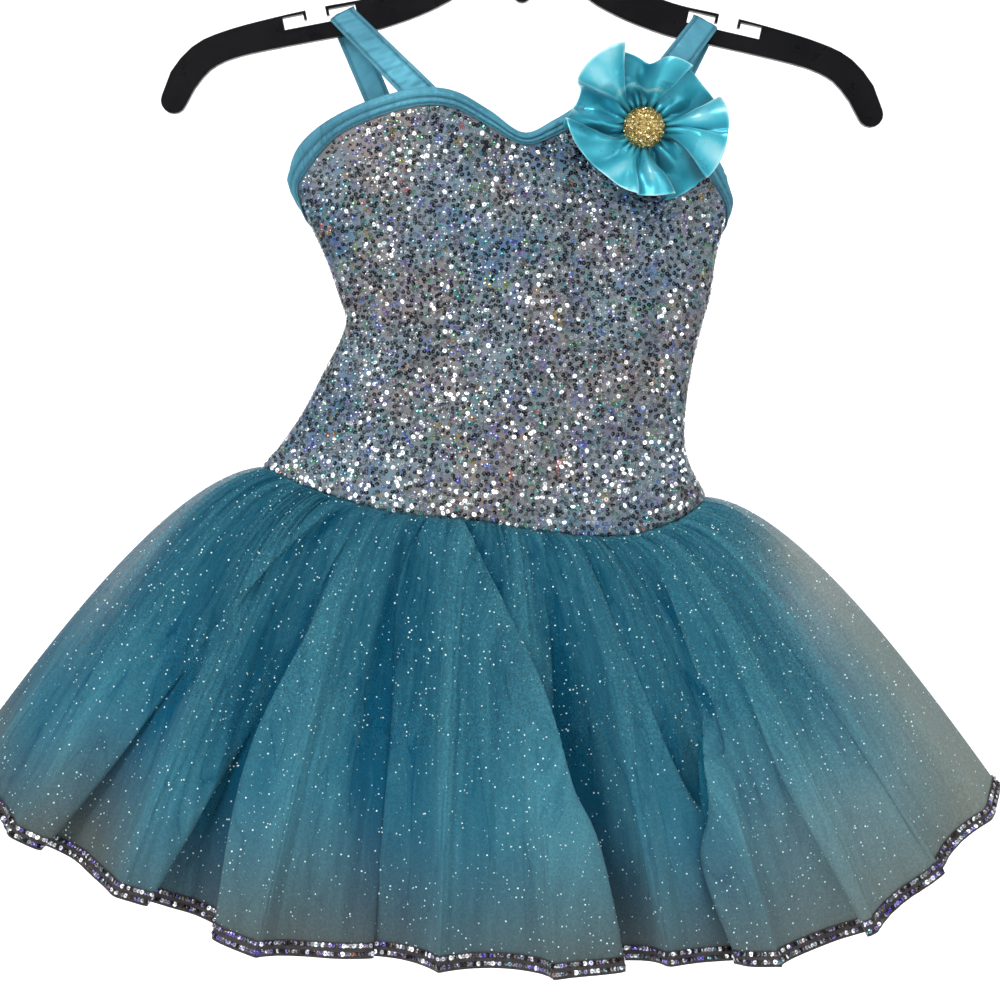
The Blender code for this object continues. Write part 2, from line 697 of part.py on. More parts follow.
def cut(target, cutter):
    cutter.hide_render = True
    cutter.display_type = "WIRE"
    difference = target.modifiers.new("cut_" + cutter.name, "BOOLEAN")
    difference.operation = "DIFFERENCE"
    difference.object = cutter


def hanger(look):
    """The hanger's flat body: two drooping arms, a tab under the middle and a notch on each arm."""
    last = HANGER[-1].out
    tops, bottoms = [], []
    for n in range(HANGER_STEPS + 1):
        out = last * n / HANGER_STEPS
        middle, width = hanger_line(out)
        ahead, behind = hanger_line(min(out + 0.5, last))[0], hanger_line(max(out - 0.5, 0.0))[0]
        along = (ahead - behind).normalized()
        up = Vector((-along.z, 0.0, along.x)) * width / 2
        tops.append(middle + up)
        bottoms.append(middle - up)
    end = (tops[-1] + bottoms[-1]) / 2
    radius = (tops[-1] - bottoms[-1]).length / 2
    up = (tops[-1] - bottoms[-1]).normalized()
    forward = Vector((up.z, 0.0, -up.x))
    tip = []
    for n in range(1, TIP_STEPS):
        turn = math.pi * n / TIP_STEPS
        tip.append(end + (up * math.cos(turn) + forward * math.sin(turn)) * radius)
    right_side = tops + tip + [p for p in reversed(bottoms) if p.x > TAB_HALF_WIDTH]
    tab = []
    for n in range(TIP_STEPS + 1):
        turn = math.pi * n / TIP_STEPS
        tab.append(Vector((
            TAB_HALF_WIDTH * math.cos(turn), 0.0,
            TAB_BOTTOM + TAB_HALF_WIDTH - TAB_HALF_WIDTH * math.sin(turn),
        )))
    left_side = [Vector((-p.x, 0.0, p.z)) for p in reversed(right_side) if p.x > 0.0]
    outline = [leaning(p) for p in right_side + tab + left_side]
    body = slab("hanger_body", outline, HANGER_THICK, look)
    for side in (1, -1):
        cut(body, notch_cutter(side))
    top = tops[0].z
    bpy.ops.mesh.primitive_cylinder_add(
        vertices=16, radius=(HOOK_WIRE + SEAM) * MM, depth=(HOOK_SOCKET + 6.0) * MM,
        location=(0.0, 0.0, (top - HOOK_SOCKET / 2 + 3.0) * MM),
    )
    socket = bpy.context.object
    socket.name = "cutter_socket"
    cut(body, socket)
    return top


def hook(look, crown):
    """The wire hook, from its socket in the crown up round an open bend."""
    radius = HOOK_INSIDE + HOOK_WIRE
    middle = Vector((0.0, 0.0, -HOOK_INSIDE))
    route = [Vector((0.0, 0.0, crown - HOOK_SOCKET + SEAM)), Vector((0.0, 0.0, crown + 4.0))]
    start, finish = -68, 205
    first = middle + Vector((math.cos(math.radians(start)), 0.0, math.sin(math.radians(start)))) * radius
    bend = Vector((0.0, 0.0, first.z - 3.0))
    for n in range(1, 4):
        t = n / 4
        route.append(route[1] * (1 - t) ** 2 + bend * 2 * t * (1 - t) + first * t * t)
    steps = 24
    for n in range(steps + 1):
        turn = math.radians(start + (finish - start) * n / steps)
        route.append(middle + Vector((math.cos(turn), 0.0, math.sin(turn))) * radius)
    line = bpy.data.curves.new("hanger_hook", "CURVE")
    line.dimensions = "3D"
    spline = line.splines.new("POLY")
    spline.points.add(len(route) - 1)
    for point, place in zip(spline.points, route):
        point.co = (*(place * MM), 1.0)
    line.bevel_depth = HOOK_WIRE * MM
    line.bevel_resolution = 2
    line.use_fill_caps = True
    line.materials.append(look)
    bpy.context.scene.collection.objects.link(bpy.data.objects.new("hanger_hook", line))


def flower_plane():
    """The plane just in front of the bodice where the flower's middle is sewn on."""
    spots = [(dx, dz) for dx in (-1, 0, 1) for dz in (-1, 0, 1)]
    nearest = 0.0
    for dx, dz in spots:
        x, z = FLOWER_X + dx * FLOWER_HOLE, FLOWER_Z + dz * FLOWER_HOLE
        nearest = min(nearest, torso(torso_angle(x, z), z, -SEAM, False).y)
    return nearest


def flower_ribbon(look):
    """A length of satin ribbon gathered into a ring, cupped, with its rim in uneven lobes."""
    plane = flower_plane()

    def point(turn, share, lift):
        angle = math.degrees(turn)
        radius = FLOWER_HOLE + (read(FLOWER_RIM, "angle", "radius", angle) - FLOWER_HOLE) * share
        rise = read(FLOWER_RIM, "angle", "stand", angle) - FLOWER_LOW
        stand = FLOWER_LOW + rise * share * (1 + RIBBON_CUP * (1 - share))
        stand += RIBBON_GATHER_DEPTH * (1 - share) * math.sin(RIBBON_GATHERS * turn)
        return Vector((
            FLOWER_X + radius * math.cos(turn), plane - stand + lift, FLOWER_Z + radius * math.sin(turn),
        ))

    def grid(lift):
        turns = [2 * math.pi * c / FLOWER_COLUMNS for c in range(FLOWER_COLUMNS)]
        return [[point(turn, share, lift) for turn in turns] for share in FLOWER_ROWS]

    wall("flower_ribbon", look, grid(0.0), grid(RIBBON_WALL), loop=True)


def flower_button(look):
    """A domed button on a shank that goes through the ribbon's ring to the bodice."""
    plane = flower_plane()
    shank = FLOWER_HOLE - 2 * SEAM
    profile = [(shank, 0.0), (shank, BUTTON_BACK)]
    for n in range(DOME_RINGS):
        turn = math.pi / 2 * n / DOME_RINGS
        profile.append((
            BUTTON_RADIUS * math.cos(turn), BUTTON_BACK + BUTTON_RIM + BUTTON_DOME * math.sin(turn),
        ))
    rings = []
    for radius, height in profile:
        turns = [2 * math.pi * s / BUTTON_SIDES for s in range(BUTTON_SIDES)]
        rings.append([
            Vector((FLOWER_X + radius * math.cos(t), plane - height, FLOWER_Z + radius * math.sin(t)))
            for t in turns
        ])
    sweep("flower_button", look, rings)


def build():
    for old in list(bpy.data.objects):
        bpy.data.objects.remove(old)
    sequin = material("sequin_cloth", (0.42, 0.48, 0.53), 0.3, 0.6)
    satin = material("aqua_spandex", (0.10, 0.45, 0.58), 0.35, 0.2)
    tulle = material("teal_tulle", (0.03, 0.28, 0.38), 0.7)
    trim = material("sequin_trim", (0.5, 0.5, 0.55), 0.3, 0.7)
    ribbon = material("satin_ribbon", (0.08, 0.55, 0.65), 0.3)
    gold = material("gold_glitter", (0.65, 0.48, 0.16), 0.4, 0.8)
    black = material("black_plastic", (0.01, 0.01, 0.01), 0.35)
    steel = material("hook_steel", (0.6, 0.6, 0.62), 0.25, 1.0)

    bodice_panel("bodice_front", sequin, FRONT_TOP, False, 28, 7)
    bodice_panel("bodice_back", satin, BACK_TOP, True, 20, 6)
    binding("binding_front", satin, FRONT_TOP, False, 28)
    binding("binding_back", satin, BACK_TOP, True, 20)
    brief_panel("brief_front", satin, False, 14, 6)
    brief_panel("brief_back", satin, True, 14, 6)
    for layer in LAYERS:
        for back in (False, True):
            skirt_layer(layer, tulle, back)
    for back in (False, True):
        hem_trim(trim, back)
    for item in STRAPS:
        strap(item, satin)
    flower_ribbon(ribbon)
    flower_button(gold)
    crown = hanger(black)
    hook(steel, crown)


build()
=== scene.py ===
import json
import math

import bmesh
import bpy
import numpy as np
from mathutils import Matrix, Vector

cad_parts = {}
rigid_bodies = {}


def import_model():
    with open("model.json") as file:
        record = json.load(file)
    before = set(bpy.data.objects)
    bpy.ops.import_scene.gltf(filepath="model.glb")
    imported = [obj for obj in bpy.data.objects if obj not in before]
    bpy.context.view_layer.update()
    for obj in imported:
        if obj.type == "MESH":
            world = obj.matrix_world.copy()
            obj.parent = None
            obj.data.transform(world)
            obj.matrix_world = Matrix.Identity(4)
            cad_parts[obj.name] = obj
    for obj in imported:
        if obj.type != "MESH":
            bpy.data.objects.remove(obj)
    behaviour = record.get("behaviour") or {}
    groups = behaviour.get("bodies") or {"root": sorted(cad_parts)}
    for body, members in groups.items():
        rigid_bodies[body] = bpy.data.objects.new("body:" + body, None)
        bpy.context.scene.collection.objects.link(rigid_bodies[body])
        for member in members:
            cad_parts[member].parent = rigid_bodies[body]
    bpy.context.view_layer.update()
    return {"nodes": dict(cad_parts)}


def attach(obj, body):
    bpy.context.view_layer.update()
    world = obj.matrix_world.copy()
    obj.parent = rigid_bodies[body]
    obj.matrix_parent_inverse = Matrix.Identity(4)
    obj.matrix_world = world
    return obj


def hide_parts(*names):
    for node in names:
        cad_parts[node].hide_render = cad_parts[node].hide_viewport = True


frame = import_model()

# Looks of a child's dance leotard with a tulle skirt, hanging from its hanger.
# Sizes in the tables are millimetres, in the same frame as the solids.
mm = 0.001
scene = bpy.context.scene


# Small helpers
def smoothCurve(keys, values, at):
    keys, values = np.array(keys, float), np.array(values, float)
    at = np.clip(np.asarray(at, float), keys[0], keys[-1])
    last = len(keys) - 1
    i = np.clip(np.searchsorted(keys, at, side="right") - 1, 0, last - 1)
    before, after = np.maximum(np.arange(last + 1) - 1, 0), np.minimum(np.arange(last + 1) + 1, last)
    slopes = (values[after] - values[before]) / (keys[after] - keys[before])
    span = keys[i + 1] - keys[i]
    t = (at - keys[i]) / span
    return (
        values[i] * (1 + 2 * t) * (1 - t) ** 2 + slopes[i] * span * t * (1 - t) ** 2
        + values[i + 1] * t * t * (3 - 2 * t) + slopes[i + 1] * span * t * t * (t - 1)
    )


def bell(t):
    return np.exp(-t * t)


def unevenWaves(seed, u, v, count, acrossWaves, downWaves):
    # waves of several widths and slants, so no two neighbours are alike
    chance = np.random.default_rng(seed)
    total = 0.0
    for _ in range(count):
        across = chance.uniform(0.6, 1.5) * acrossWaves
        down = chance.uniform(-1.0, 1.0) * downWaves
        total = total + np.sin(2 * math.pi * (across * u + down * v) + chance.uniform(0, 6.283))
    return total / math.sqrt(count)


def unit(vectors):
    return vectors / np.maximum(np.linalg.norm(vectors, axis=-1, keepdims=True), 1e-9)


def clothGrid(name, points, look, loop=False, show=True, values=None):
    # rows run down and columns to the right as seen from outside; u runs across, v is 1 at the top
    rows, columns = points.shape[:2]
    index = np.arange(rows * columns).reshape(rows, columns)
    u = np.linspace(0, 1, columns + 1 if loop else columns)
    v = 1 - np.linspace(0, 1, rows)
    if loop:
        index = np.column_stack([index, index[:, 0]])
    corners = [(0, 0), (1, 0), (1, 1), (0, 1)]
    high, wide = index.shape[0] - 1, index.shape[1] - 1
    quads = np.stack([index[r:r + high, c:c + wide] for r, c in corners], axis=-1).reshape(-1, 4)
    uAll, vAll = np.broadcast_to(u, index.shape), np.broadcast_to(v[:, None], index.shape)
    uv = np.stack([
        np.stack([uAll[r:r + high, c:c + wide], vAll[r:r + high, c:c + wide]], axis=-1)
        for r, c in corners
    ], axis=2).reshape(-1, 2)
    mesh = bpy.data.meshes.new(name)
    mesh.from_pydata((points.reshape(-1, 3) * mm).tolist(), [], quads.tolist())
    layer = mesh.uv_layers.new(name="clothUv")
    layer.data.foreach_set("uv", uv.astype(np.float32).ravel())
    mesh.shade_smooth()
    for key, value in (values or {}).items():
        held = mesh.attributes.new(key, "FLOAT", "POINT")
        held.data.foreach_set("value", np.broadcast_to(value, (rows, columns)).astype(np.float32).ravel())
    if look:
        mesh.materials.append(look)
    made = bpy.data.objects.new(name, mesh)
    if show:
        scene.collection.objects.link(made)
    return made


def thicken(piece, thickness):
    wall = piece.modifiers.new("wall", "SOLIDIFY")
    wall.thickness = thickness * mm
    wall.offset = -1.0
    wall.use_even_offset = False


def outwardOf(points):
    down, along = np.gradient(points, axis=0), np.gradient(points, axis=1)
    return unit(np.cross(down, along))


def mendMesh(piece, close=True):
    # closes open ends, or joins points that coincide, and turns all faces outwards
    mesh = bmesh.new()
    mesh.from_mesh(piece.data)
    if close:
        bmesh.ops.holes_fill(mesh, edges=[edge for edge in mesh.edges if edge.is_boundary])
    else:
        bmesh.ops.remove_doubles(mesh, verts=mesh.verts, dist=1e-6)
    bmesh.ops.recalc_face_normals(mesh, faces=mesh.faces)
    mesh.to_mesh(piece.data)
    mesh.free()


def clothArea(piece):
    # area of the piece's own faces, in square metres
    return sum(face.area for face in piece.data.polygons)


# The body's shape, as in the solids
bodyShape = {
    "height": [-375, -350, -336, -325, -310, -290, -264, -250, -230, -205, -192.5, -145],
    "left": [-135, -135, -130, -121, -110.5, -100, -88, -91.5, -98.5, -110.5, -116, -115.5],
    "right": [94, 91.5, 84.5, 81.5, 81.5, 84, 90, 94, 97, 103.5, 103, 103],
    "front": [31, 30, 29, 27.5, 26, 24, 22.5, 22, 21.5, 20, 19, 16],
    "back": [22, 21, 20, 19, 18, 16.5, 15, 14, 13, 12, 11.5, 10],
    "flatness": 0.75,
    "seam": 0.3,
}
frontTop = {
    "angle": [-90, -76, -64, -50, -36, -23, -14, -5, 4, 12, 22, 32, 46, 60, 76, 90],
    "height": [-201, -181, -170, -160, -152, -147.5, -149.5, -159, -170, -163.5, -152.5, -148, -156,
               -170.5, -188, -205],
    "depth": [11, 17, 17, 11.5, 10, 9, 8.5, 8, 6, 8, 9, 9, 10.5, 14, 16, 10],
}
backTop = {
    "angle": [90, 110, 145, 180, 215, 250, 270],
    "height": [-205, -213, -219, -222, -218, -210, -201],
    "depth": [10, 9, 9, 9, 9, 9, 11],
}
waistLine = {
    "angle": [-90, -66, -42, -22, 0, 16, 36, 55, 74, 90, 120, 180, 240, 270],
    "height": [-334, -337.5, -348, -357, -361.5, -366.5, -369, -363, -354, -349, -355, -362, -346, -334],
}


def angleAt(place, back):
    turn = 0.5 * (np.arcsin(np.clip(place, -1, 1)) + math.pi / 2 * place)
    return np.degrees(math.pi - turn if back else turn)


def roundedCos(angle, flatness):
    c = np.cos(np.radians(angle))
    return np.sign(c) * np.abs(c) ** flatness


def bodyPoint(angle, height, inset, back):
    column = {side: smoothCurve(bodyShape["height"], bodyShape[side], height)
              for side in ("left", "right", "back" if back else "front")}
    depth = column["back" if back else "front"] - inset
    middle, half = (column["left"] + column["right"]) / 2, (column["right"] - column["left"]) / 2
    x = middle + (half - inset) * np.sin(np.radians(angle))
    edge = bodyShape["seam"] / 2
    y = -depth * roundedCos(angle, bodyShape["flatness"]) + (edge if back else -edge)
    return np.stack(np.broadcast_arrays(x, y, height), axis=-1)


def placesAcross(columns, back):
    across = np.linspace(-1, 1, columns)
    return across[::-1] if back else across


def lineHeight(line, angle, column="height"):
    return smoothCurve(line["angle"], line[column], angle)


# Materials
def addNode(tree, kind, inputs=None, **settings):
    made = tree.nodes.new(kind)
    for key, value in settings.items():
        setattr(made, key, value)
    for key, value in (inputs or {}).items():
        if isinstance(value, bpy.types.NodeSocket):
            tree.links.new(value, made.inputs[key])
        else:
            made.inputs[key].default_value = value
    return made


def startMaterial(name, constants):
    made = bpy.data.materials.new(name)
    made.use_nodes = True
    shader = made.node_tree.nodes["Principled BSDF"]
    for key, value in constants.items():
        shader.inputs[key].default_value = value
    return made, made.node_tree, shader


def feed(tree, shader, values):
    for key, value in values.items():
        tree.links.new(value, shader.inputs[key])


def remap(tree, value, fromMin, fromMax, toMin=0.0, toMax=1.0):
    return addNode(tree, "ShaderNodeMapRange", {
        "Value": value, "From Min": fromMin, "From Max": fromMax, "To Min": toMin, "To Max": toMax,
    }).outputs[0]


def attributeOf(tree, name):
    return addNode(tree, "ShaderNodeAttribute", attribute_name=name).outputs["Fac"]


def placeIn(tree, space="Object"):
    return addNode(tree, "ShaderNodeTexCoord").outputs[space]


def noiseOf(tree, place, scale, detail=2.0, roughness=0.5):
    return addNode(tree, "ShaderNodeTexNoise", {
        "Vector": place, "Scale": scale, "Detail": detail, "Roughness": roughness}).outputs["Fac"]


def startGroup(name, inputs, outputs):
    group = bpy.data.node_groups.new(name, "ShaderNodeTree")
    for socket, kind, value in inputs:
        made = group.interface.new_socket(socket, in_out="INPUT", socket_type=kind)
        if value is not None:
            made.default_value = value
    for socket, kind in outputs:
        group.interface.new_socket(socket, in_out="OUTPUT", socket_type=kind)
    return group, group.nodes.new("NodeGroupInput").outputs, group.nodes.new("NodeGroupOutput").inputs


def buildKnitGroup():
    # fine crossing threads, as height and as a mask, from a coordinate in metres
    group, given, out = startGroup(
        "fineKnit",
        [("Vector", "NodeSocketVector", None), ("Threads", "NodeSocketFloat", 900.0)],
        [("Height", "NodeSocketFloat"), ("Mask", "NodeSocketFloat")],
    )
    first, second = (addNode(group, "ShaderNodeTexWave", {
        "Vector": given["Vector"], "Scale": given["Threads"], "Distortion": 1.2, "Detail": 1.0,
        "Detail Scale": 2.0}, bands_direction=way).outputs["Fac"] for way in ("X", "Z"))
    both = mathOf(group, "MULTIPLY", first, second)
    group.links.new(both, out["Height"])
    group.links.new(remap(group, both, 0.15, 0.6), out["Mask"])
    return group


def buildPatchGroup():
    # slow uneven change of tone over a surface
    group, given, out = startGroup(
        "patchyTone",
        [("Vector", "NodeSocketVector", None), ("Scale", "NodeSocketFloat", 20.0),
         ("Low", "NodeSocketFloat", 0.0), ("High", "NodeSocketFloat", 1.0)],
        [("Factor", "NodeSocketFloat")],
    )
    noise = noiseOf(group, given["Vector"], given["Scale"], 3.0, 0.55)
    group.links.new(remap(group, noise, 0.3, 0.7, given["Low"], given["High"]), out["Factor"])
    return group


def placeGroup(tree, group, inputs):
    return addNode(tree, "ShaderNodeGroup", inputs, node_tree=group).outputs


def mixColors(tree, factor, low, high):
    made = addNode(tree, "ShaderNodeMix", {0: factor}, data_type="RGBA")
    for socket, value in ((made.inputs[6], low), (made.inputs[7], high)):
        if isinstance(value, bpy.types.NodeSocket):
            tree.links.new(value, socket)
        else:
            socket.default_value = (*value, 1.0)
    return made.outputs[2]


def mathOf(tree, operation, a, b=0.0, clamp=False):
    return addNode(tree, "ShaderNodeMath", {0: a, 1: b}, operation=operation, use_clamp=clamp).outputs[0]


def bumpFrom(tree, shader, height, strength, distance):
    bump = addNode(tree, "ShaderNodeBump", {"Height": height, "Strength": strength, "Distance": distance})
    tree.links.new(bump.outputs["Normal"], shader.inputs["Normal"])


def rampOf(tree, factor, stops):
    made = addNode(tree, "ShaderNodeValToRGB", {"Fac": factor})
    ramp = made.color_ramp
    ramp.elements[0].position, ramp.elements[0].color = stops[0][0], (*stops[0][1], 1.0)
    ramp.elements[1].position, ramp.elements[1].color = stops[-1][0], (*stops[-1][1], 1.0)
    for at, shade in stops[1:-1]:
        ramp.elements.new(at).color = (*shade, 1.0)
    return made.outputs[0]


knitGroup, patchGroup = buildKnitGroup(), buildPatchGroup()


def knitOf(tree, place, threads):
    return placeGroup(tree, knitGroup, {"Vector": place, "Threads": threads})


def patchOf(tree, place, scale, low=0.0, high=1.0):
    return placeGroup(tree, patchGroup, {"Vector": place, "Scale": scale, "Low": low, "High": high})["Factor"]


clothColors = {
    "aquaDeep": (0.020, 0.15, 0.23), "aquaLight": (0.075, 0.34, 0.46), "aquaPale": (0.20, 0.54, 0.66),
    "thread": (0.05, 0.25, 0.34), "paintedShadeDark": (0.004, 0.05, 0.085),
}


def aquaSpandex(name, dots):
    # stretch cloth with a soft foil sheen, with or without foil dots
    made, tree, shader = startMaterial(name, {
        "Roughness": 0.42, "Metallic": 0.35, "Sheen Weight": 0.15, "Sheen Roughness": 0.4})
    place = placeIn(tree)
    knit = knitOf(tree, place, 620.0)
    color = mixColors(tree, patchOf(tree, place, 26.0), clothColors["aquaDeep"], clothColors["aquaLight"])
    color = mixColors(tree, mathOf(tree, "MULTIPLY", knit["Mask"], 0.35), color, clothColors["aquaPale"])
    roughness = patchOf(tree, place, 90.0, 0.32, 0.55)
    if dots:
        cells = addNode(tree, "ShaderNodeTexVoronoi", {"Vector": place, "Scale": 480.0, "Randomness": 0.35})
        spot = remap(tree, cells.outputs["Distance"], 0.42, 0.30)
        color = mixColors(tree, mathOf(tree, "MULTIPLY", spot, 0.55), color, clothColors["aquaPale"])
        feed(tree, shader, {"Metallic": mathOf(tree, "MULTIPLY_ADD", spot, 0.6)})
        roughness = mathOf(tree, "SUBTRACT", roughness, mathOf(tree, "MULTIPLY", spot, 0.16))
    # painted shade: the shade attribute darkens stitch grooves, edges, inner legs and the back legs of the
    # straps
    color = mixColors(tree, attributeOf(tree, "shade"), color, clothColors["paintedShadeDark"])
    feed(tree, shader, {"Base Color": color, "Roughness": roughness})
    bumpFrom(tree, shader, knit["Height"], 0.35, 0.00025)
    return made


def sequinNet():
    # silver-blue cloth that shows between the sequins, taken up by their colors in patches
    made, tree, shader = startMaterial("sequinNet", {"Roughness": 0.5, "Metallic": 0.3})
    place = placeIn(tree)
    knit = knitOf(tree, place, 520.0)
    narrow = rampOf(tree, noiseOf(tree, place, 70.0), [
        (0.30, (0.06, 0.08, 0.24)), (0.40, (0.10, 0.17, 0.27)), (0.46, (0.19, 0.165, 0.15)),
        (0.53, (0.10, 0.16, 0.20)), (0.60, (0.04, 0.18, 0.26)), (0.68, (0.22, 0.15, 0.13))])
    wide = rampOf(tree, noiseOf(tree, place, 21.0), [
        (0.36, (0.02, 0.12, 0.24)), (0.45, (0.16, 0.23, 0.27)), (0.54, (0.13, 0.135, 0.14)),
        (0.62, (0.25, 0.18, 0.16))])
    color = mixColors(tree, mathOf(tree, "MULTIPLY", knit["Mask"], 0.3), mixColors(tree, 0.62, narrow, wide),
                      (0.27, 0.32, 0.35))
    feed(tree, shader, {"Base Color": color})
    bumpFrom(tree, shader, knit["Height"], 0.4, 0.0003)
    return made


def sequinFoil(name, colorShare, tones, hues):
    # each sequin has its own tone and painted shade at its outer edge; patches of them lean to one color; the
    # lightest glow as a painted glint
    made, tree, shader = startMaterial(name, {"Metallic": 0.88, "Emission Strength": 0.55})
    tone, patch, inner = (attributeOf(tree, key) for key in ("tone", "patch", "inner"))
    chance = mathOf(tree, "FRACT", mathOf(tree, "MULTIPLY", tone, 17.0))
    place = placeIn(tree)
    height = addNode(tree, "ShaderNodeSeparateXYZ", {0: place}).outputs["Z"]
    # painted highlight: sequins lower down are lighter, so more of them glint
    toned = mathOf(tree, "ADD", tone, remap(tree, height, -0.25, -0.34, -0.05, 0.02))
    toned = mathOf(tree, "ADD", toned, patchOf(tree, place, 42.0, -0.16, 0.09))
    picked = remap(tree, chance, colorShare, colorShare - 0.15)
    color = mixColors(tree, mathOf(tree, "MULTIPLY", picked, 0.8), rampOf(tree, toned, tones),
                      rampOf(tree, patch, hues))
    # painted shade darkens each sequin's outer edge
    edge = remap(tree, inner, 0.05, 0.45, 0.22, 1.0)
    # painted glint: the lightest sequins glow white through emission
    paintedGlint = remap(tree, toned, 0.86, 0.92)
    feed(tree, shader, {
        "Base Color": mixColors(tree, mathOf(tree, "MAXIMUM", edge, paintedGlint), (0.010, 0.012, 0.016), color),
        "Emission Color": mixColors(tree, paintedGlint, (0.0, 0.0, 0.0), (0.9, 0.97, 1.0)),
        "Roughness": remap(tree, chance, 0.0, 1.0, 0.16, 0.36)})
    return made


def tulleLook(name, deep, light, grey, pale, creased):
    # fine net: crinkles run down from the gathers; the lit attribute gives painted shade in valleys and
    # painted light on crests; the outer layers also have thin creases painted as dark and light lines, and
    # holes that show by their painted shade
    made, tree, shader = startMaterial(name, {
        "Roughness": 0.85, "Sheen Weight": 0.06, "Specular IOR Level": 0.12})
    cover, lit, greyed, paled = (attributeOf(tree, key) for key in ("cover", "lit", "greyed", "paled"))
    flat = placeIn(tree, "UV")

    def streaks(across, down, detail):
        space = addNode(tree, "ShaderNodeMapping", {0: flat, 3: (across, down, 1.0)})
        return noiseOf(tree, space.outputs[0], 1.0, detail, 0.6)

    def offFrom(noise, level):
        return mathOf(tree, "SUBTRACT", noise, level)

    crinkle = streaks(110.0, 9.0, 2.0 if creased else 1.0)
    tone = mathOf(tree, "ADD", lit, mathOf(tree, "MULTIPLY", offFrom(crinkle, 0.5), 0.6))
    if creased:
        streak = streaks(44.0, 2.4, 2.0)
        tone = mathOf(tree, "ADD", tone, mathOf(tree, "MULTIPLY", offFrom(streak, 0.5), 0.9))
        # painted shade, then painted highlight: thin dark and light lines along the creases
        for level, width, change in ((0.47, 0.016, -0.26), (0.56, 0.018, 0.15)):  # dark, then light creases
            off = mathOf(tree, "ABSOLUTE", offFrom(streak, level))
            tone = mathOf(tree, "ADD", tone, remap(tree, off, 0.0, width, change, 0.0))
    color = mixColors(tree, mathOf(tree, "ADD", tone, 0.0, clamp=True), deep, light)
    color = mixColors(tree, paled, mixColors(tree, greyed, color, grey), pale)
    alpha = cover
    if creased:
        net = addNode(tree, "ShaderNodeTexVoronoi", {"Vector": placeIn(tree), "Scale": 820.0, "Detail": 0.0})
        holes = remap(tree, net.outputs["Distance"], 0.75, 0.25)
        color = mixColors(tree, mathOf(tree, "MULTIPLY", holes, 0.22), color, (0.0, 0.02, 0.03))
        opening = mathOf(tree, "SUBTRACT", 0.16, mathOf(tree, "MULTIPLY", holes, 0.42))
        bare = mathOf(tree, "SUBTRACT", 1.03, cover)
        alpha = mathOf(tree, "ADD", cover, mathOf(tree, "MULTIPLY", opening, bare), clamp=True)
        bumpFrom(tree, shader, crinkle, 0.35, 0.001)
    feed(tree, shader, {"Base Color": color, "Alpha": mathOf(tree, "MULTIPLY", alpha,
                                                             remap(tree, cover, 0.0, 0.12))})
    return made


def glitterFlake(name, dark, bright, metal):
    made, tree, shader = startMaterial(name, {"Metallic": metal, "Roughness": 0.3})
    feed(tree, shader, {"Base Color": mixColors(tree, attributeOf(tree, "tone"), dark, bright)})
    return made


def satinRibbonLook():
    made, tree, shader = startMaterial("satinRibbon", {
        "Roughness": 0.26, "Metallic": 0.42, "Sheen Weight": 0.1})
    place = placeIn(tree)
    # painted light and shade: the lit attribute lightens fold edges and the rim and darkens lapped sides and
    # hollows; the top of the ramp is a painted highlight
    tone = mathOf(tree, "ADD", attributeOf(tree, "lit"), patchOf(tree, place, 55.0, -0.08, 0.08))
    color = rampOf(tree, tone, [
        (0.05, (0.0, 0.08, 0.12)), (0.42, (0.014, 0.29, 0.40)), (0.62, (0.06, 0.48, 0.60)),
        (0.95, (0.50, 0.88, 0.95))])
    threads = addNode(tree, "ShaderNodeMapping", {0: placeIn(tree, "UV"), 3: (700.0, 90.0, 1.0)})
    grain = noiseOf(tree, threads.outputs[0], 1.0)
    feed(tree, shader, {
        "Base Color": mixColors(tree, mathOf(tree, "MULTIPLY", grain, 0.12), color, (0.10, 0.50, 0.60)),
        "Roughness": patchOf(tree, place, 160.0, 0.26, 0.38)})
    bumpFrom(tree, shader, grain, 0.12, 0.0001)
    return made


def goldGlitterLook():
    made, tree, shader = startMaterial("goldGlitter", {"Metallic": 0.9})
    grains = addNode(tree, "ShaderNodeTexVoronoi", {"Vector": placeIn(tree), "Scale": 1500.0})
    split = addNode(tree, "ShaderNodeSeparateColor", {0: grains.outputs["Color"]}).outputs
    feed(tree, shader, {
        "Base Color": mixColors(tree, split[0], (0.16, 0.10, 0.02), (0.72, 0.54, 0.20)),
        "Roughness": remap(tree, split[1], 0.0, 1.0, 0.2, 0.6)})
    bumpFrom(tree, shader, grains.outputs["Distance"], 0.9, 0.0006)
    return made


def trimGroundLook():
    # dark woven tape under the hem's sequins
    made, tree, shader = startMaterial("trimTape", {"Roughness": 0.6})
    knit = knitOf(tree, placeIn(tree), 700.0)
    feed(tree, shader, {
        "Base Color": mixColors(tree, knit["Mask"], (0.018, 0.014, 0.014), (0.075, 0.065, 0.070))})
    bumpFrom(tree, shader, knit["Height"], 0.4, 0.0003)
    return made


def blackPlasticLook():
    made, tree, shader = startMaterial("mouldedBlack", {"Specular IOR Level": 0.12})
    place = placeIn(tree)
    color = mixColors(tree, patchOf(tree, place, 40.0), (0.002, 0.002, 0.003), (0.006, 0.006, 0.007))
    feed(tree, shader, {"Base Color": color, "Roughness": patchOf(tree, place, 120.0, 0.26, 0.42)})
    bumpFrom(tree, shader, noiseOf(tree, place, 500.0, 1.0), 0.06, 0.0002)
    return made


def hookSteelLook():
    made, tree, shader = startMaterial("hookSteel", {"Metallic": 1.0})
    place = placeIn(tree)
    rough = patchOf(tree, place, 600.0, 0.18, 0.34)
    feed(tree, shader, {
        "Base Color": mixColors(tree, patchOf(tree, place, 150.0), (0.48, 0.48, 0.50), (0.68, 0.68, 0.70)),
        "Roughness": rough})
    bumpFrom(tree, shader, rough, 0.1, 0.0001)
    return made


def threadLook():
    made, tree, shader = startMaterial("sewingThread", {"Roughness": 0.6})
    twist = noiseOf(tree, placeIn(tree), 2500.0)
    feed(tree, shader, {"Base Color": mixColors(tree, twist, (0.01, 0.07, 0.12), clothColors["thread"])})
    return made


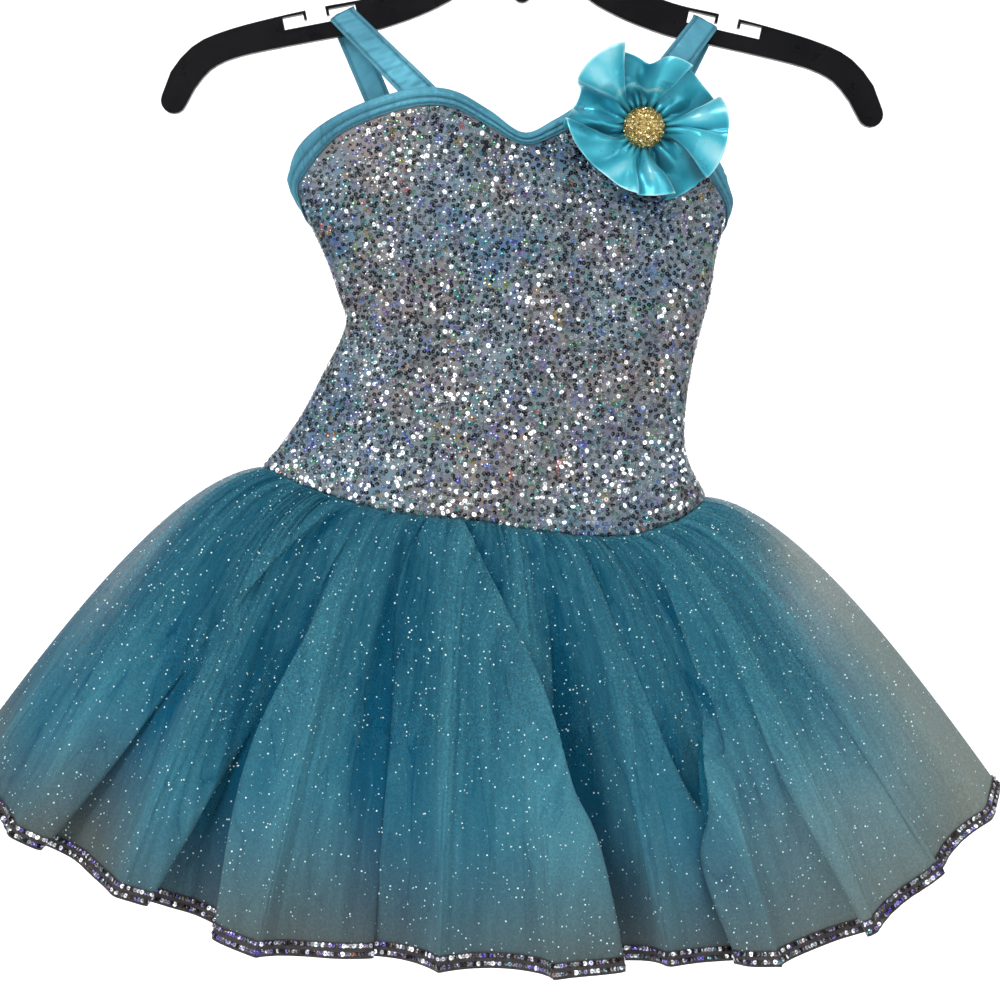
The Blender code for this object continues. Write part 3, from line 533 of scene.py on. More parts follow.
looks = {
    "back": aquaSpandex("foilDotSpandex", True),
    "binding": aquaSpandex("bindingSpandex", False),
    "net": sequinNet(),
    "sequin": sequinFoil("bodiceSequins", 0.30, [
        (0.0, (0.008, 0.010, 0.014)), (0.32, (0.035, 0.045, 0.055)), (0.44, (0.10, 0.12, 0.14)),
        (0.64, (0.22, 0.25, 0.28)), (0.84, (0.40, 0.44, 0.47)), (0.90, (1.0, 1.0, 1.0)),
        (0.96, (1.0, 1.0, 1.0))], [
        (0.30, (0.07, 0.07, 0.45)), (0.38, (0.14, 0.26, 0.55)), (0.44, (0.24, 0.18, 0.42)),
        (0.50, (0.20, 0.17, 0.15)), (0.55, (0.05, 0.28, 0.34)), (0.61, (0.14, 0.34, 0.16)),
        (0.66, (0.48, 0.32, 0.12)), (0.71, (0.50, 0.16, 0.16))]),
    "trimGround": trimGroundLook(),
    "trimSequin": sequinFoil("trimSequins", 0.42, [
        (0.0, (0.010, 0.009, 0.008)), (0.32, (0.06, 0.05, 0.045)), (0.50, (0.18, 0.16, 0.15)),
        (0.68, (0.42, 0.42, 0.46)), (0.82, (0.9, 0.92, 1.0)), (1.0, (1.0, 1.0, 1.0))], [
        (0.32, (0.10, 0.07, 0.55)), (0.42, (0.25, 0.22, 0.70)), (0.50, (0.30, 0.25, 0.40)),
        (0.58, (0.20, 0.45, 0.55)), (0.66, (0.55, 0.30, 0.22))]),
    "tulleTop": tulleLook("glitterTulle", (0.0, 0.082, 0.155), (0.062, 0.245, 0.320), (0.096, 0.110, 0.104),
                          (0.235, 0.280, 0.255), True),
    "tulleInner": tulleLook("plainTulle", (0.0, 0.080, 0.155), (0.008, 0.18, 0.28), (0.05, 0.12, 0.14),
                            (0.14, 0.24, 0.25), False),
    "flake": glitterFlake("skirtGlitter", (0.10, 0.42, 0.50), (0.80, 1.0, 1.0), 0.0),
    "ribbon": satinRibbonLook(),
    "gold": goldGlitterLook(),
    "goldFlake": glitterFlake("goldFlakes", (0.26, 0.16, 0.03), (0.92, 0.74, 0.36), 0.95),
    "thread": threadLook(),
}
print("materials made")


# Scattering trees
def treeSocket(tree, name, kind, value=None):
    made = tree.interface.new_socket(name, in_out="INPUT", socket_type=kind)
    if value is not None:
        made.default_value = value


def startGeometryTree(name, inputs):
    tree = bpy.data.node_groups.new(name, "GeometryNodeTree")
    treeSocket(tree, "Geometry", "NodeSocketGeometry")
    for socket in inputs:
        treeSocket(tree, *socket)
    tree.interface.new_socket("Geometry", in_out="OUTPUT", socket_type="NodeSocketGeometry")
    return tree, tree.nodes.new("NodeGroupInput").outputs, tree.nodes.new("NodeGroupOutput").inputs


def storeOn(tree, geometry, name, value, domain="INSTANCE"):
    return addNode(tree, "GeometryNodeStoreNamedAttribute", {
        "Geometry": geometry, "Name": name, "Value": value}, data_type="FLOAT", domain=domain).outputs[0]


def finishTree(tree, given, out, instances, patchScale):
    # every instance gets its own tone, and a patch value from where it lies
    chance = addNode(tree, "FunctionNodeRandomValue", {"Seed": given["Seed"]}, data_type="FLOAT")
    toned = storeOn(tree, instances, "tone", chance.outputs[1])
    where = addNode(tree, "GeometryNodeInputPosition").outputs[0]
    patched = storeOn(tree, toned, "patch", noiseOf(tree, where, patchScale))
    plain = addNode(tree, "GeometryNodeRealizeInstances", {"Geometry": patched})
    dressed = addNode(tree, "GeometryNodeSetMaterial", {"Geometry": plain.outputs[0],
                                                        "Material": given["Finish"]})
    tree.links.new(dressed.outputs[0], out["Geometry"])


def tiltedRotation(tree, given, upright):
    tilt = given["Tilt"]
    back = mathOf(tree, "MULTIPLY", tilt, -1.0)
    low = addNode(tree, "ShaderNodeCombineXYZ", {0: back, 1: back, 2: -3.14159})
    high = addNode(tree, "ShaderNodeCombineXYZ", {0: tilt, 1: tilt, 2: 3.14159})
    chance = addNode(tree, "FunctionNodeRandomValue", {"Min": low.outputs[0], "Max": high.outputs[0],
                                                       "Seed": given["Seed"]}, data_type="FLOAT_VECTOR")
    turn = addNode(tree, "FunctionNodeEulerToRotation", {0: chance.outputs[0]})
    both = addNode(tree, "FunctionNodeRotateRotation", {"Rotation": upright,
                                                        "Rotate By": turn.outputs[0]})
    both.rotation_space = "LOCAL"
    return both.outputs[0]


def buildSequinTree(onPoints):
    # cupped ring sequins, scattered over cloth or set on the points of a row
    inputs = [("Spacing", "NodeSocketFloat", 0.0025), ("Radius", "NodeSocketFloat", 0.0015),
              ("Hole", "NodeSocketFloat", 0.0004), ("Cup", "NodeSocketFloat", 0.0003),
              ("Tilt", "NodeSocketFloat", 0.3), ("Seed", "NodeSocketInt", 1),
              ("Finish", "NodeSocketMaterial")]
    tree, given, out = startGeometryTree("rowSequins" if onPoints else "scatterSequins", inputs)
    if onPoints:
        facing = addNode(tree, "GeometryNodeInputNamedAttribute", {"Name": "facing"},
                         data_type="FLOAT_VECTOR")
        upright = addNode(tree, "FunctionNodeAlignRotationToVector", {"Vector": facing.outputs[0]},
                          axis="Z").outputs[0]
        points = given["Geometry"]
    else:
        spread = addNode(tree, "GeometryNodeDistributePointsOnFaces",
                         {"Mesh": given["Geometry"], "Distance Min": given["Spacing"],
                          "Density Max": 500000.0, "Seed": given["Seed"]}, distribute_method="POISSON")
        upright, points = spread.outputs["Rotation"], spread.outputs["Points"]
    ring = addNode(tree, "GeometryNodeMeshCone", {"Vertices": 9, "Radius Top": given["Hole"],
                                                  "Radius Bottom": given["Radius"],
                                                  "Depth": given["Cup"]}, fill_type="NONE")
    flat = addNode(tree, "ShaderNodeVectorMath", {0: addNode(tree, "GeometryNodeInputPosition").outputs[0],
                                                  1: (1.0, 1.0, 0.0)}, operation="MULTIPLY")
    reach = addNode(tree, "ShaderNodeVectorMath", {0: flat.outputs[0]}, operation="LENGTH")
    inner = remap(tree, reach.outputs["Value"], given["Radius"], given["Hole"])
    marked = storeOn(tree, ring.outputs["Mesh"], "inner", inner, "POINT")
    placed = addNode(tree, "GeometryNodeInstanceOnPoints",
                     {"Points": points, "Instance": marked,
                      "Rotation": tiltedRotation(tree, given, upright)})
    finishTree(tree, given, out, placed.outputs[0], 95.0)
    return tree


def buildFlakeTree():
    # six-sided glitter flakes lying on cloth
    inputs = [("Density", "NodeSocketFloat", 20000.0), ("Radius", "NodeSocketFloat", 0.0005),
              ("Lift", "NodeSocketFloat", 0.0002), ("Tilt", "NodeSocketFloat", 0.4),
              ("Seed", "NodeSocketInt", 1), ("Finish", "NodeSocketMaterial")]
    tree, given, out = startGeometryTree("scatterFlakes", inputs)
    spread = addNode(tree, "GeometryNodeDistributePointsOnFaces",
                     {"Mesh": given["Geometry"], "Density": given["Density"], "Seed": given["Seed"]},
                     distribute_method="RANDOM")
    lifted = addNode(tree, "ShaderNodeVectorMath", {0: spread.outputs["Normal"]}, operation="SCALE")
    tree.links.new(given["Lift"], lifted.inputs["Scale"])
    moved = addNode(tree, "GeometryNodeSetPosition", {"Geometry": spread.outputs["Points"],
                                                      "Offset": lifted.outputs[0]})
    flake = addNode(tree, "GeometryNodeMeshCircle", {"Vertices": 6, "Radius": given["Radius"]},
                    fill_type="NGON")
    size = addNode(tree, "FunctionNodeRandomValue", {"Seed": given["Seed"]}, data_type="FLOAT")
    size.inputs[2].default_value, size.inputs[3].default_value = 0.55, 1.45
    placed = addNode(tree, "GeometryNodeInstanceOnPoints",
                     {"Points": moved.outputs[0], "Instance": flake.outputs["Mesh"],
                      "Rotation": tiltedRotation(tree, given, spread.outputs["Rotation"]),
                      "Scale": size.outputs[1]})
    finishTree(tree, given, out, placed.outputs[0], 60.0)
    return tree


def buildStitchTree():
    # short thread stitches along a line
    inputs = [("Step", "NodeSocketFloat", 0.0026), ("Length", "NodeSocketFloat", 0.0018),
              ("Thread", "NodeSocketFloat", 0.00022), ("Seed", "NodeSocketInt", 1),
              ("Finish", "NodeSocketMaterial")]
    tree, given, out = startGeometryTree("sewStitches", inputs)
    line = addNode(tree, "GeometryNodeMeshToCurve", {"Mesh": given["Geometry"]})
    even = addNode(tree, "GeometryNodeResampleCurve", {"Curve": line.outputs[0], "Length": given["Step"]},
                   mode="LENGTH")
    along = addNode(tree, "GeometryNodeInputTangent")
    upright = addNode(tree, "FunctionNodeAlignRotationToVector", {"Vector": along.outputs[0]}, axis="Z")
    stitch = addNode(tree, "GeometryNodeMeshCylinder", {"Vertices": 5, "Radius": given["Thread"],
                                                        "Depth": given["Length"]})
    placed = addNode(tree, "GeometryNodeInstanceOnPoints",
                     {"Points": even.outputs[0], "Instance": stitch.outputs["Mesh"],
                      "Rotation": upright.outputs[0]})
    finishTree(tree, given, out, placed.outputs[0], 60.0)
    return tree


sequinTree, rowTree = buildSequinTree(False), buildSequinTree(True)
flakeTree, stitchTree = buildFlakeTree(), buildStitchTree()


def grow(name, base, tree, values):
    # runs a tree on a copy of base and keeps the result as a plain mesh
    piece = bpy.data.objects.new(name, base.data.copy())
    scene.collection.objects.link(piece)
    modifier = piece.modifiers.new("grown", "NODES")
    modifier.node_group = tree
    for item in tree.interface.items_tree:
        if item.in_out == "INPUT" and item.name in values:
            modifier[item.identifier] = values[item.name]
    piece.update_tag()
    graph = bpy.context.evaluated_depsgraph_get()
    made = bpy.data.meshes.new_from_object(piece.evaluated_get(graph), preserve_all_data_layers=True,
                                           depsgraph=graph)
    piece.modifiers.clear()
    piece.data = made
    made.name = name
    return piece


def stitchLines(name, lines):
    # lines are lists of points in millimetres
    points = np.concatenate(lines) * mm
    edges, start = [], 0
    for line in lines:
        edges += [(start + n, start + n + 1) for n in range(len(line) - 1)]
        start += len(line)
    mesh = bpy.data.meshes.new(name)
    mesh.from_pydata(points.tolist(), edges, [])
    base = bpy.data.objects.new(name + "Line", mesh)
    return grow(name, base, stitchTree, {"Step": 0.0026, "Length": 0.0017, "Thread": 0.00020, "Seed": 3,
                                         "Finish": looks["thread"]})


# Bodice
bodice = {
    "frontColumns": 140, "frontRows": 104, "backColumns": 100, "backRows": 70,
    "wall": 1.2, "bindingRoom": 1.6, "sequinRoom": 1.2, "ripple": 0.35,
    "sequinSpacing": 1.58, "sequinRadius": 1.24, "sequinHole": 0.38, "sequinCup": 0.26, "sequinTilt": 0.30,
    "creasesFrom": -160.0, "creasesTo": -365.0,
    # main creases: where across (-1 to 1) and down (0 to 1), how they lean, their widths and height
    "frontCreases": [
        {"place": -0.55, "down": 0.45, "lean": 0.25, "wide": 0.10, "long": 0.30, "high": 2.2},
        {"place": -0.28, "down": 0.62, "lean": -0.10, "wide": 0.09, "long": 0.34, "high": -2.0},
        {"place": 0.02, "down": 0.55, "lean": 0.05, "wide": 0.10, "long": 0.40, "high": 1.8},
        {"place": 0.30, "down": 0.50, "lean": 0.12, "wide": 0.09, "long": 0.30, "high": -1.8},
        {"place": 0.55, "down": 0.40, "lean": -0.20, "wide": 0.10, "long": 0.28, "high": 2.0},
        {"place": -0.05, "down": 0.14, "lean": 0.02, "wide": 0.10, "long": 0.14, "high": -2.2},
        {"place": -0.78, "down": 0.60, "lean": 0.30, "wide": 0.06, "long": 0.20, "high": -1.6},
        {"place": 0.80, "down": 0.66, "lean": -0.25, "wide": 0.06, "long": 0.18, "high": -1.5},
    ],
    "backCreases": [
        {"place": -0.50, "down": 0.50, "lean": 0.20, "wide": 0.09, "long": 0.32, "high": 1.8},
        {"place": -0.15, "down": 0.60, "lean": -0.12, "wide": 0.08, "long": 0.36, "high": -1.8},
        {"place": 0.20, "down": 0.45, "lean": 0.10, "wide": 0.09, "long": 0.30, "high": 1.7},
        {"place": 0.55, "down": 0.58, "lean": -0.22, "wide": 0.08, "long": 0.26, "high": -1.6},
    ],
}


def creaseHeight(creases, place, down):
    total = 0.0
    for crease in creases:
        away = (place - crease["place"] - crease["lean"] * (down - crease["down"])) / crease["wide"]
        total = total + crease["high"] * bell(away) * bell((down - crease["down"]) / crease["long"])
    return total


def bodicePoints(back, columns, rows, start=None):
    place = placesAcross(columns, back)[None, :]
    down = np.linspace(0, 1, rows)[:, None]
    angle = angleAt(place, back)
    top = backTop if back else frontTop
    high = lineHeight(top, angle) - bodice["bindingRoom"]
    if start == "foot":
        high = lineHeight(top, angle) - lineHeight(top, angle, "depth") - bodice["sequinRoom"]
    height = high + (lineHeight(waistLine, angle) - high) * down
    realDown = (height - bodice["creasesFrom"]) / (bodice["creasesTo"] - bodice["creasesFrom"])
    bump = creaseHeight(bodice["backCreases" if back else "frontCreases"], place, realDown)
    bump = bump + bodice["ripple"] * unevenWaves(11 if back else 7, place, realDown, 6, 5.0, 3.0)
    bump = bump * (1 - np.abs(place) ** 6) * np.clip(down * 8, 0, 1) * np.clip((1 - down) * 8, 0, 1)
    return bodyPoint(np.broadcast_to(angle, height.shape), height, -bump, back)


bodiceFront = clothGrid("bodiceFrontCloth", bodicePoints(False, bodice["frontColumns"], bodice["frontRows"]),
                        looks["net"])
bodiceBack = clothGrid("bodiceBackCloth", bodicePoints(True, bodice["backColumns"], bodice["backRows"]),
                       looks["back"])
sequinGround = clothGrid("sequinGround", bodicePoints(False, 120, 90, "foot"), None, show=False)
sequins = grow("bodiceSequins", sequinGround, sequinTree, {
    "Spacing": bodice["sequinSpacing"] * mm, "Radius": bodice["sequinRadius"] * mm,
    "Hole": bodice["sequinHole"] * mm, "Cup": bodice["sequinCup"] * mm, "Tilt": bodice["sequinTilt"],
    "Seed": 5, "Finish": looks["sequin"],
})
print("bodice made, sequin faces:", len(sequins.data.polygons))


# Binding
binding = {"columns": 260, "proud": 1.3, "inside": 2.8, "round": 1.3, "wall": 0.8, "pucker": 0.3,
           "stitchUp": [0.12, 0.52]}


def bindingPoints(top, back):
    place = placesAcross(binding["columns"] if not back else binding["columns"] // 2, back)
    angle = angleAt(place, back)
    edge, depth = lineHeight(top, angle), lineHeight(top, angle, "depth")
    proud, inside, radius = binding["proud"], binding["inside"], binding["round"]
    # painted shade, darkest at the foot of the inner leg
    rows, paintedShades = [], [0.35, 0.2, 0.1] + [0.0] * 9
    for up in (0.0, 0.35, 0.7):  # the inner leg, from its foot
        rows.append((np.full_like(angle, inside), edge - depth + (depth - radius) * up))
    for turn in np.linspace(0, math.pi, 9):  # over the edge
        inset = (inside - proud) / 2 + (inside + proud) / 2 * math.cos(turn)
        rows.append((np.full_like(angle, inset), edge - radius + radius * math.sin(turn)))
    for up in np.linspace(0.94, 0.0, 22):  # the outer leg, down to its foot
        stitched = sum(bell((up - at) / 0.06) for at in binding["stitchUp"])
        pucker = binding["pucker"] * unevenWaves(21, place, up * 0.2, 5, 30.0, 2.0) * (1 - stitched)
        roll = 0.7 * bell((up - 0.78) / 0.16)
        # painted shade in the stitch grooves and towards the foot of the outer leg
        paintedShades.append(min(0.75, 0.62 * stitched + 0.22 * bell(up / 0.3) + 0.08))
        rows.append((-proud - pucker * min(1.0, up * 5) - roll + 0.7 * stitched,
                     edge - depth + (depth - radius) * up))
    points = np.stack([bodyPoint(angle, height, inset, back) for inset, height in rows])
    return points, np.array(paintedShades)[:, None], (angle, edge, depth)


bindings, bindingStitches = [], []
for back, top in ((False, frontTop), (True, backTop)):
    points, paintedShades, (angle, edge, depth) = bindingPoints(top, back)
    strip = clothGrid("bindingBackCloth" if back else "bindingFrontCloth", points, looks["binding"],
                      values={"shade": paintedShades})
    thicken(strip, binding["wall"])
    lines = [bodyPoint(angle, edge - depth + (depth - binding["round"]) * up, -binding["proud"] + 0.6, back)
             for up in binding["stitchUp"]]
    bindings.append(strip)
    bindingStitches.append(stitchLines("bindingBackStitches" if back else "bindingFrontStitches", lines))
print("bindings made")


# Brief
brief = {
    "height": [-530, -508, -480, -450, -425, -402, -384],
    "left": [-47, -49, -57, -76, -97, -111, -113],
    "right": [8, 10, 18, 36, 58, 72, 76],
    "front": [1.2, 6.5, 14, 20, 21.5, 21.5, 21],
    "back": [1.2, 5.5, 11, 15, 14, 12.5, 11],
    "wrap": [56, 58, 62, 66, 72, 86, 90],
    "inset": 2.4, "overlap": 3.0, "tuckBelow": [0.0, 6.5], "tuckInset": [0.0, 5.5], "wall": 1.0,
    "columns": 90, "lowRows": 60,
}


def briefPoints(back):
    place = placesAcross(brief["columns"], back)
    angle = angleAt(place, back)
    waist = lineHeight(waistLine, angle)
    rows = [bodyPoint(angle, waist + brief["overlap"], np.full_like(angle, brief["inset"]), back)]
    for below, inset in zip(brief["tuckBelow"], brief["tuckInset"]):
        point = bodyPoint(angle, waist, np.full_like(angle, brief["inset"] + inset), back)
        point[:, 2] -= below
        rows.append(point)
    turn0 = np.radians(angle - 180 if back else angle)
    for level in np.linspace(brief["height"][-1], brief["height"][0], brief["lowRows"]):
        left, right, depth, wrap = (float(smoothCurve(brief["height"], brief[key], level))
                                    for key in ("left", "right", "back" if back else "front", "wrap"))
        turn = turn0 * wrap / 90
        reach = np.sin(turn) / math.sin(math.radians(wrap)) * (-1 if back else 1)
        ripple = 0.5 * unevenWaves(31, place, level / 150, 5, 4.0, 3.0) * (1 - np.abs(place) ** 4)
        ripple = ripple * min(1.0, (level + 530) / 30)
        y = (depth + ripple) * np.abs(np.cos(turn)) ** bodyShape["flatness"] + bodyShape["seam"] / 2
        x = (left + right) / 2 + (right - left) / 2 * reach
        rows.append(np.stack([x, y if back else -y, np.full_like(x, level)], axis=-1))
    return np.stack(rows)


briefFront = clothGrid("briefFrontCloth", briefPoints(False), looks["back"])
briefBack = clothGrid("briefBackCloth", briefPoints(True), looks["back"])


# Skirt
skirt = {
    "hemMiddle": -20.0, "hemHalf": 258.0, "hemFront": 88.0, "hemBack": 66.0, "hemFlatness": 0.85,
    "spreadDepth": 0.8, "puffReach": 0.28, "fallReach": 0.68, "fallDrop": 0.54,
    "seamInset": 1.5, "seamStep": 0.35, "seamDrop": 1.2,
    "foldHang": 0.3, "foldRest": 5.0, "foldRise": 1.2,
    "hemAngle": [-90, -72, -56, -40, -26, -10, 12, 32, 44, 54, 66, 78, 90, 116, 146, 180, 216, 246, 270],
    "hemHeight": [-480, -499, -521, -543, -563, -572, -574, -572, -561, -543, -519, -506, -495, -528,
                  -563, -572, -560, -515, -480],
    "gatherDepth": 1.3, "fineDepth": 0.8, "curl": 0.85, "probe": 0.004,
    # painted light and shade: of the middle, and how much folds, gathers, valleys and the two sides of a
    # pleat lighten or darken it
    "litMiddle": 0.50, "litPerFold": 1 / 34.0, "litDrift": 0.07, "litGathers": 0.17, "litValley": 0.040,
    "litEdge": 0.26, "litPanel": 0.12, "litUnder": 0.48,
}
# folds: where their crest is (-1 to 1), how far it leans by the hem, its half width and its depth
frontFolds = [
    (-0.92, -0.01, 0.040, 9.0), (-0.76, -0.02, 0.050, 11.0), (-0.54, -0.02, 0.060, 12.0),
    (-0.31, -0.01, 0.060, 17.0), (-0.06, 0.00, 0.050, 15.0), (0.09, 0.01, 0.050, 17.0),
    (0.26, 0.01, 0.045, 11.0), (0.43, 0.01, 0.045, 16.0), (0.59, 0.02, 0.050, 13.0),
    (0.75, 0.01, 0.045, 11.0), (0.90, 0.02, 0.040, 9.0),
]
backFolds = [
    (-0.90, -0.01, 0.050, 9.0), (-0.73, -0.02, 0.060, 12.0), (-0.54, 0.02, 0.055, 13.0),
    (-0.37, -0.01, 0.050, 11.0), (-0.18, 0.01, 0.060, 14.0), (0.01, -0.02, 0.055, 12.0),
    (0.20, 0.02, 0.055, 14.0), (0.38, 0.01, 0.050, 11.0), (0.56, -0.01, 0.060, 13.0),
    (0.75, 0.02, 0.055, 12.0), (0.91, 0.01, 0.045, 9.0),
]
# pleats, where the cloth doubles back: the way of the fold line down the skirt (share, place), its
# half width, how far it laps over, how far it steps out, which side lies in front, and where it starts
frontPleats = [
    {"way": [(0.0, -0.36), (0.45, -0.38), (0.70, -0.41), (1.0, -0.385)], "wide": 0.024, "lap": 34.0,
     "step": 5.0, "front": 1, "start": 0.30},
    {"way": [(0.0, -0.07), (0.28, 0.01), (0.55, 0.09), (0.78, 0.155), (1.0, 0.18)], "wide": 0.026,
     "lap": 46.0, "step": 6.0, "front": -1, "start": 0.0},
    {"way": [(0.0, 0.52), (0.30, 0.49), (0.58, 0.47), (0.78, 0.395), (1.0, 0.375)], "wide": 0.022,
     "lap": 30.0, "step": 4.5, "front": 1, "start": 0.2},
    {"way": [(0.0, 0.30), (0.28, 0.31), (0.64, 0.35), (0.80, 0.385), (1.0, 0.40)], "wide": 0.016,
     "lap": 12.0, "step": 2.0, "front": -1, "start": 0.1},
    {"way": [(0.0, 0.21), (0.12, 0.19), (0.46, 0.16), (0.70, 0.15), (1.0, 0.16)], "wide": 0.014,
     "lap": 10.0, "step": 2.5, "front": -1, "start": 0.0},
    {"way": [(0.0, -0.42), (0.26, -0.49), (0.45, -0.56), (0.64, -0.63), (1.0, -0.72)], "wide": 0.022,
     "lap": 16.0, "step": 3.5, "front": -1, "start": 0.05},
    {"way": [(0.0, -0.33), (0.30, -0.38), (0.60, -0.43), (1.0, -0.50)], "wide": 0.018, "lap": 12.0,
     "step": 2.5, "front": -1, "start": 0.05},
    {"way": [(0.0, 0.58), (0.39, 0.56), (0.71, 0.55), (1.0, 0.59)], "wide": 0.016, "lap": 9.0,
     "step": 2.5, "front": 1, "start": 0.25},
    {"way": [(0.0, -0.16), (0.30, -0.20), (0.60, -0.17), (1.0, -0.16)], "wide": 0.020, "lap": 10.0,
     "step": -3.0, "front": 1, "start": 0.0},
    {"way": [(0.0, 0.72), (0.40, 0.70), (0.75, 0.73), (1.0, 0.76)], "wide": 0.018, "lap": 9.0,
     "step": 2.5, "front": -1, "start": 0.25},
]
backPleats = [
    {"way": [(0.0, -0.55), (0.5, -0.62), (1.0, -0.66)], "wide": 0.022, "lap": 24.0, "step": 4.0,
     "front": 1, "start": 0.2},
    {"way": [(0.0, -0.20), (0.5, -0.26), (1.0, -0.28)], "wide": 0.024, "lap": 30.0, "step": 5.0,
     "front": -1, "start": 0.1},
    {"way": [(0.0, 0.05), (0.5, 0.08), (1.0, 0.11)], "wide": 0.024, "lap": 34.0, "step": 5.5,
     "front": 1, "start": 0.05},
    {"way": [(0.0, 0.36), (0.5, 0.44), (1.0, 0.47)], "wide": 0.022, "lap": 26.0, "step": 4.0,
     "front": -1, "start": 0.2},
    {"way": [(0.0, 0.62), (0.5, 0.66), (1.0, 0.70)], "wide": 0.020, "lap": 14.0, "step": 3.0,
     "front": 1, "start": 0.3},
    {"way": [(0.0, -0.02), (0.5, -0.08), (1.0, -0.10)], "wide": 0.016, "lap": 10.0, "step": 2.5,
     "front": 1, "start": 0.0},
]
# wide dark valleys between the panels: their way down the skirt, half width and depth
frontValleys = [
    ([(0.0, -0.15), (0.30, -0.20), (0.70, -0.19), (1.0, -0.15)], 0.050, 9.0),
    ([(0.0, 0.17), (0.46, 0.17), (0.78, 0.20), (1.0, 0.24)], 0.040, 9.0),
    ([(0.0, 0.42), (0.50, 0.42), (0.80, 0.40), (1.0, 0.38)], 0.035, 7.0),
    ([(0.0, -0.45), (0.45, -0.60), (1.0, -0.68)], 0.045, 6.0),
    ([(0.0, -0.40), (0.60, -0.45), (1.0, -0.43)], 0.040, 7.0),
]
backValleys = [
    ([(0.0, -0.25), (0.5, -0.32), (1.0, -0.34)], 0.050, 7.0),
    ([(0.0, 0.02), (0.5, 0.03), (1.0, 0.05)], 0.045, 8.0),
    ([(0.0, 0.40), (0.5, 0.48), (1.0, 0.52)], 0.045, 7.0),
]
skirtLayers = {
    "top": {"inset": 0.0, "spread": 0.0, "fold": 1.0, "end": 1.0, "waves": 24, "columns": 580, "rows": 88},
    "middle": {"inset": 1.9, "spread": 12.0, "fold": 0.7, "end": 0.87, "waves": 30, "columns": 420,
               "rows": 64},
    "under": {"inset": 4.56, "spread": 24.0, "fold": 0.5, "end": 0.79, "waves": 27, "columns": 360,
              "rows": 56},
}


def skirtBase(place, share, back, layer):
    angle = angleAt(place, back)
    inset = skirt["seamInset"] + skirt["seamStep"] * layer["inset"]
    seam = bodyPoint(angle, lineHeight(waistLine, angle), inset, back)
    seam = seam - np.array([0.0, 0.0, skirt["seamDrop"]])
    depth = skirt["hemBack" if back else "hemFront"] - skirt["spreadDepth"] * layer["spread"]
    half = bodyShape["seam"] / 2
    hem = np.stack(np.broadcast_arrays(
        skirt["hemMiddle"] + (skirt["hemHalf"] - layer["spread"]) * np.sin(np.radians(angle)),
        -depth * roundedCos(angle, skirt["hemFlatness"]) + (half if back else -half),
        smoothCurve(skirt["hemAngle"], skirt["hemHeight"], angle),
    ), axis=-1)
    reach = (hem - seam) * np.array([1.0, 1.0, 0.0])
    drop = (seam - hem) * np.array([0.0, 0.0, 1.0])
    puff = seam + reach * skirt["puffReach"]
    fall = seam + reach * skirt["fallReach"] - drop * skirt["fallDrop"]
    t = share[..., None]
    return seam * (1 - t) ** 3 + puff * 3 * t * (1 - t) ** 2 + fall * 3 * t * t * (1 - t) + hem * t ** 3


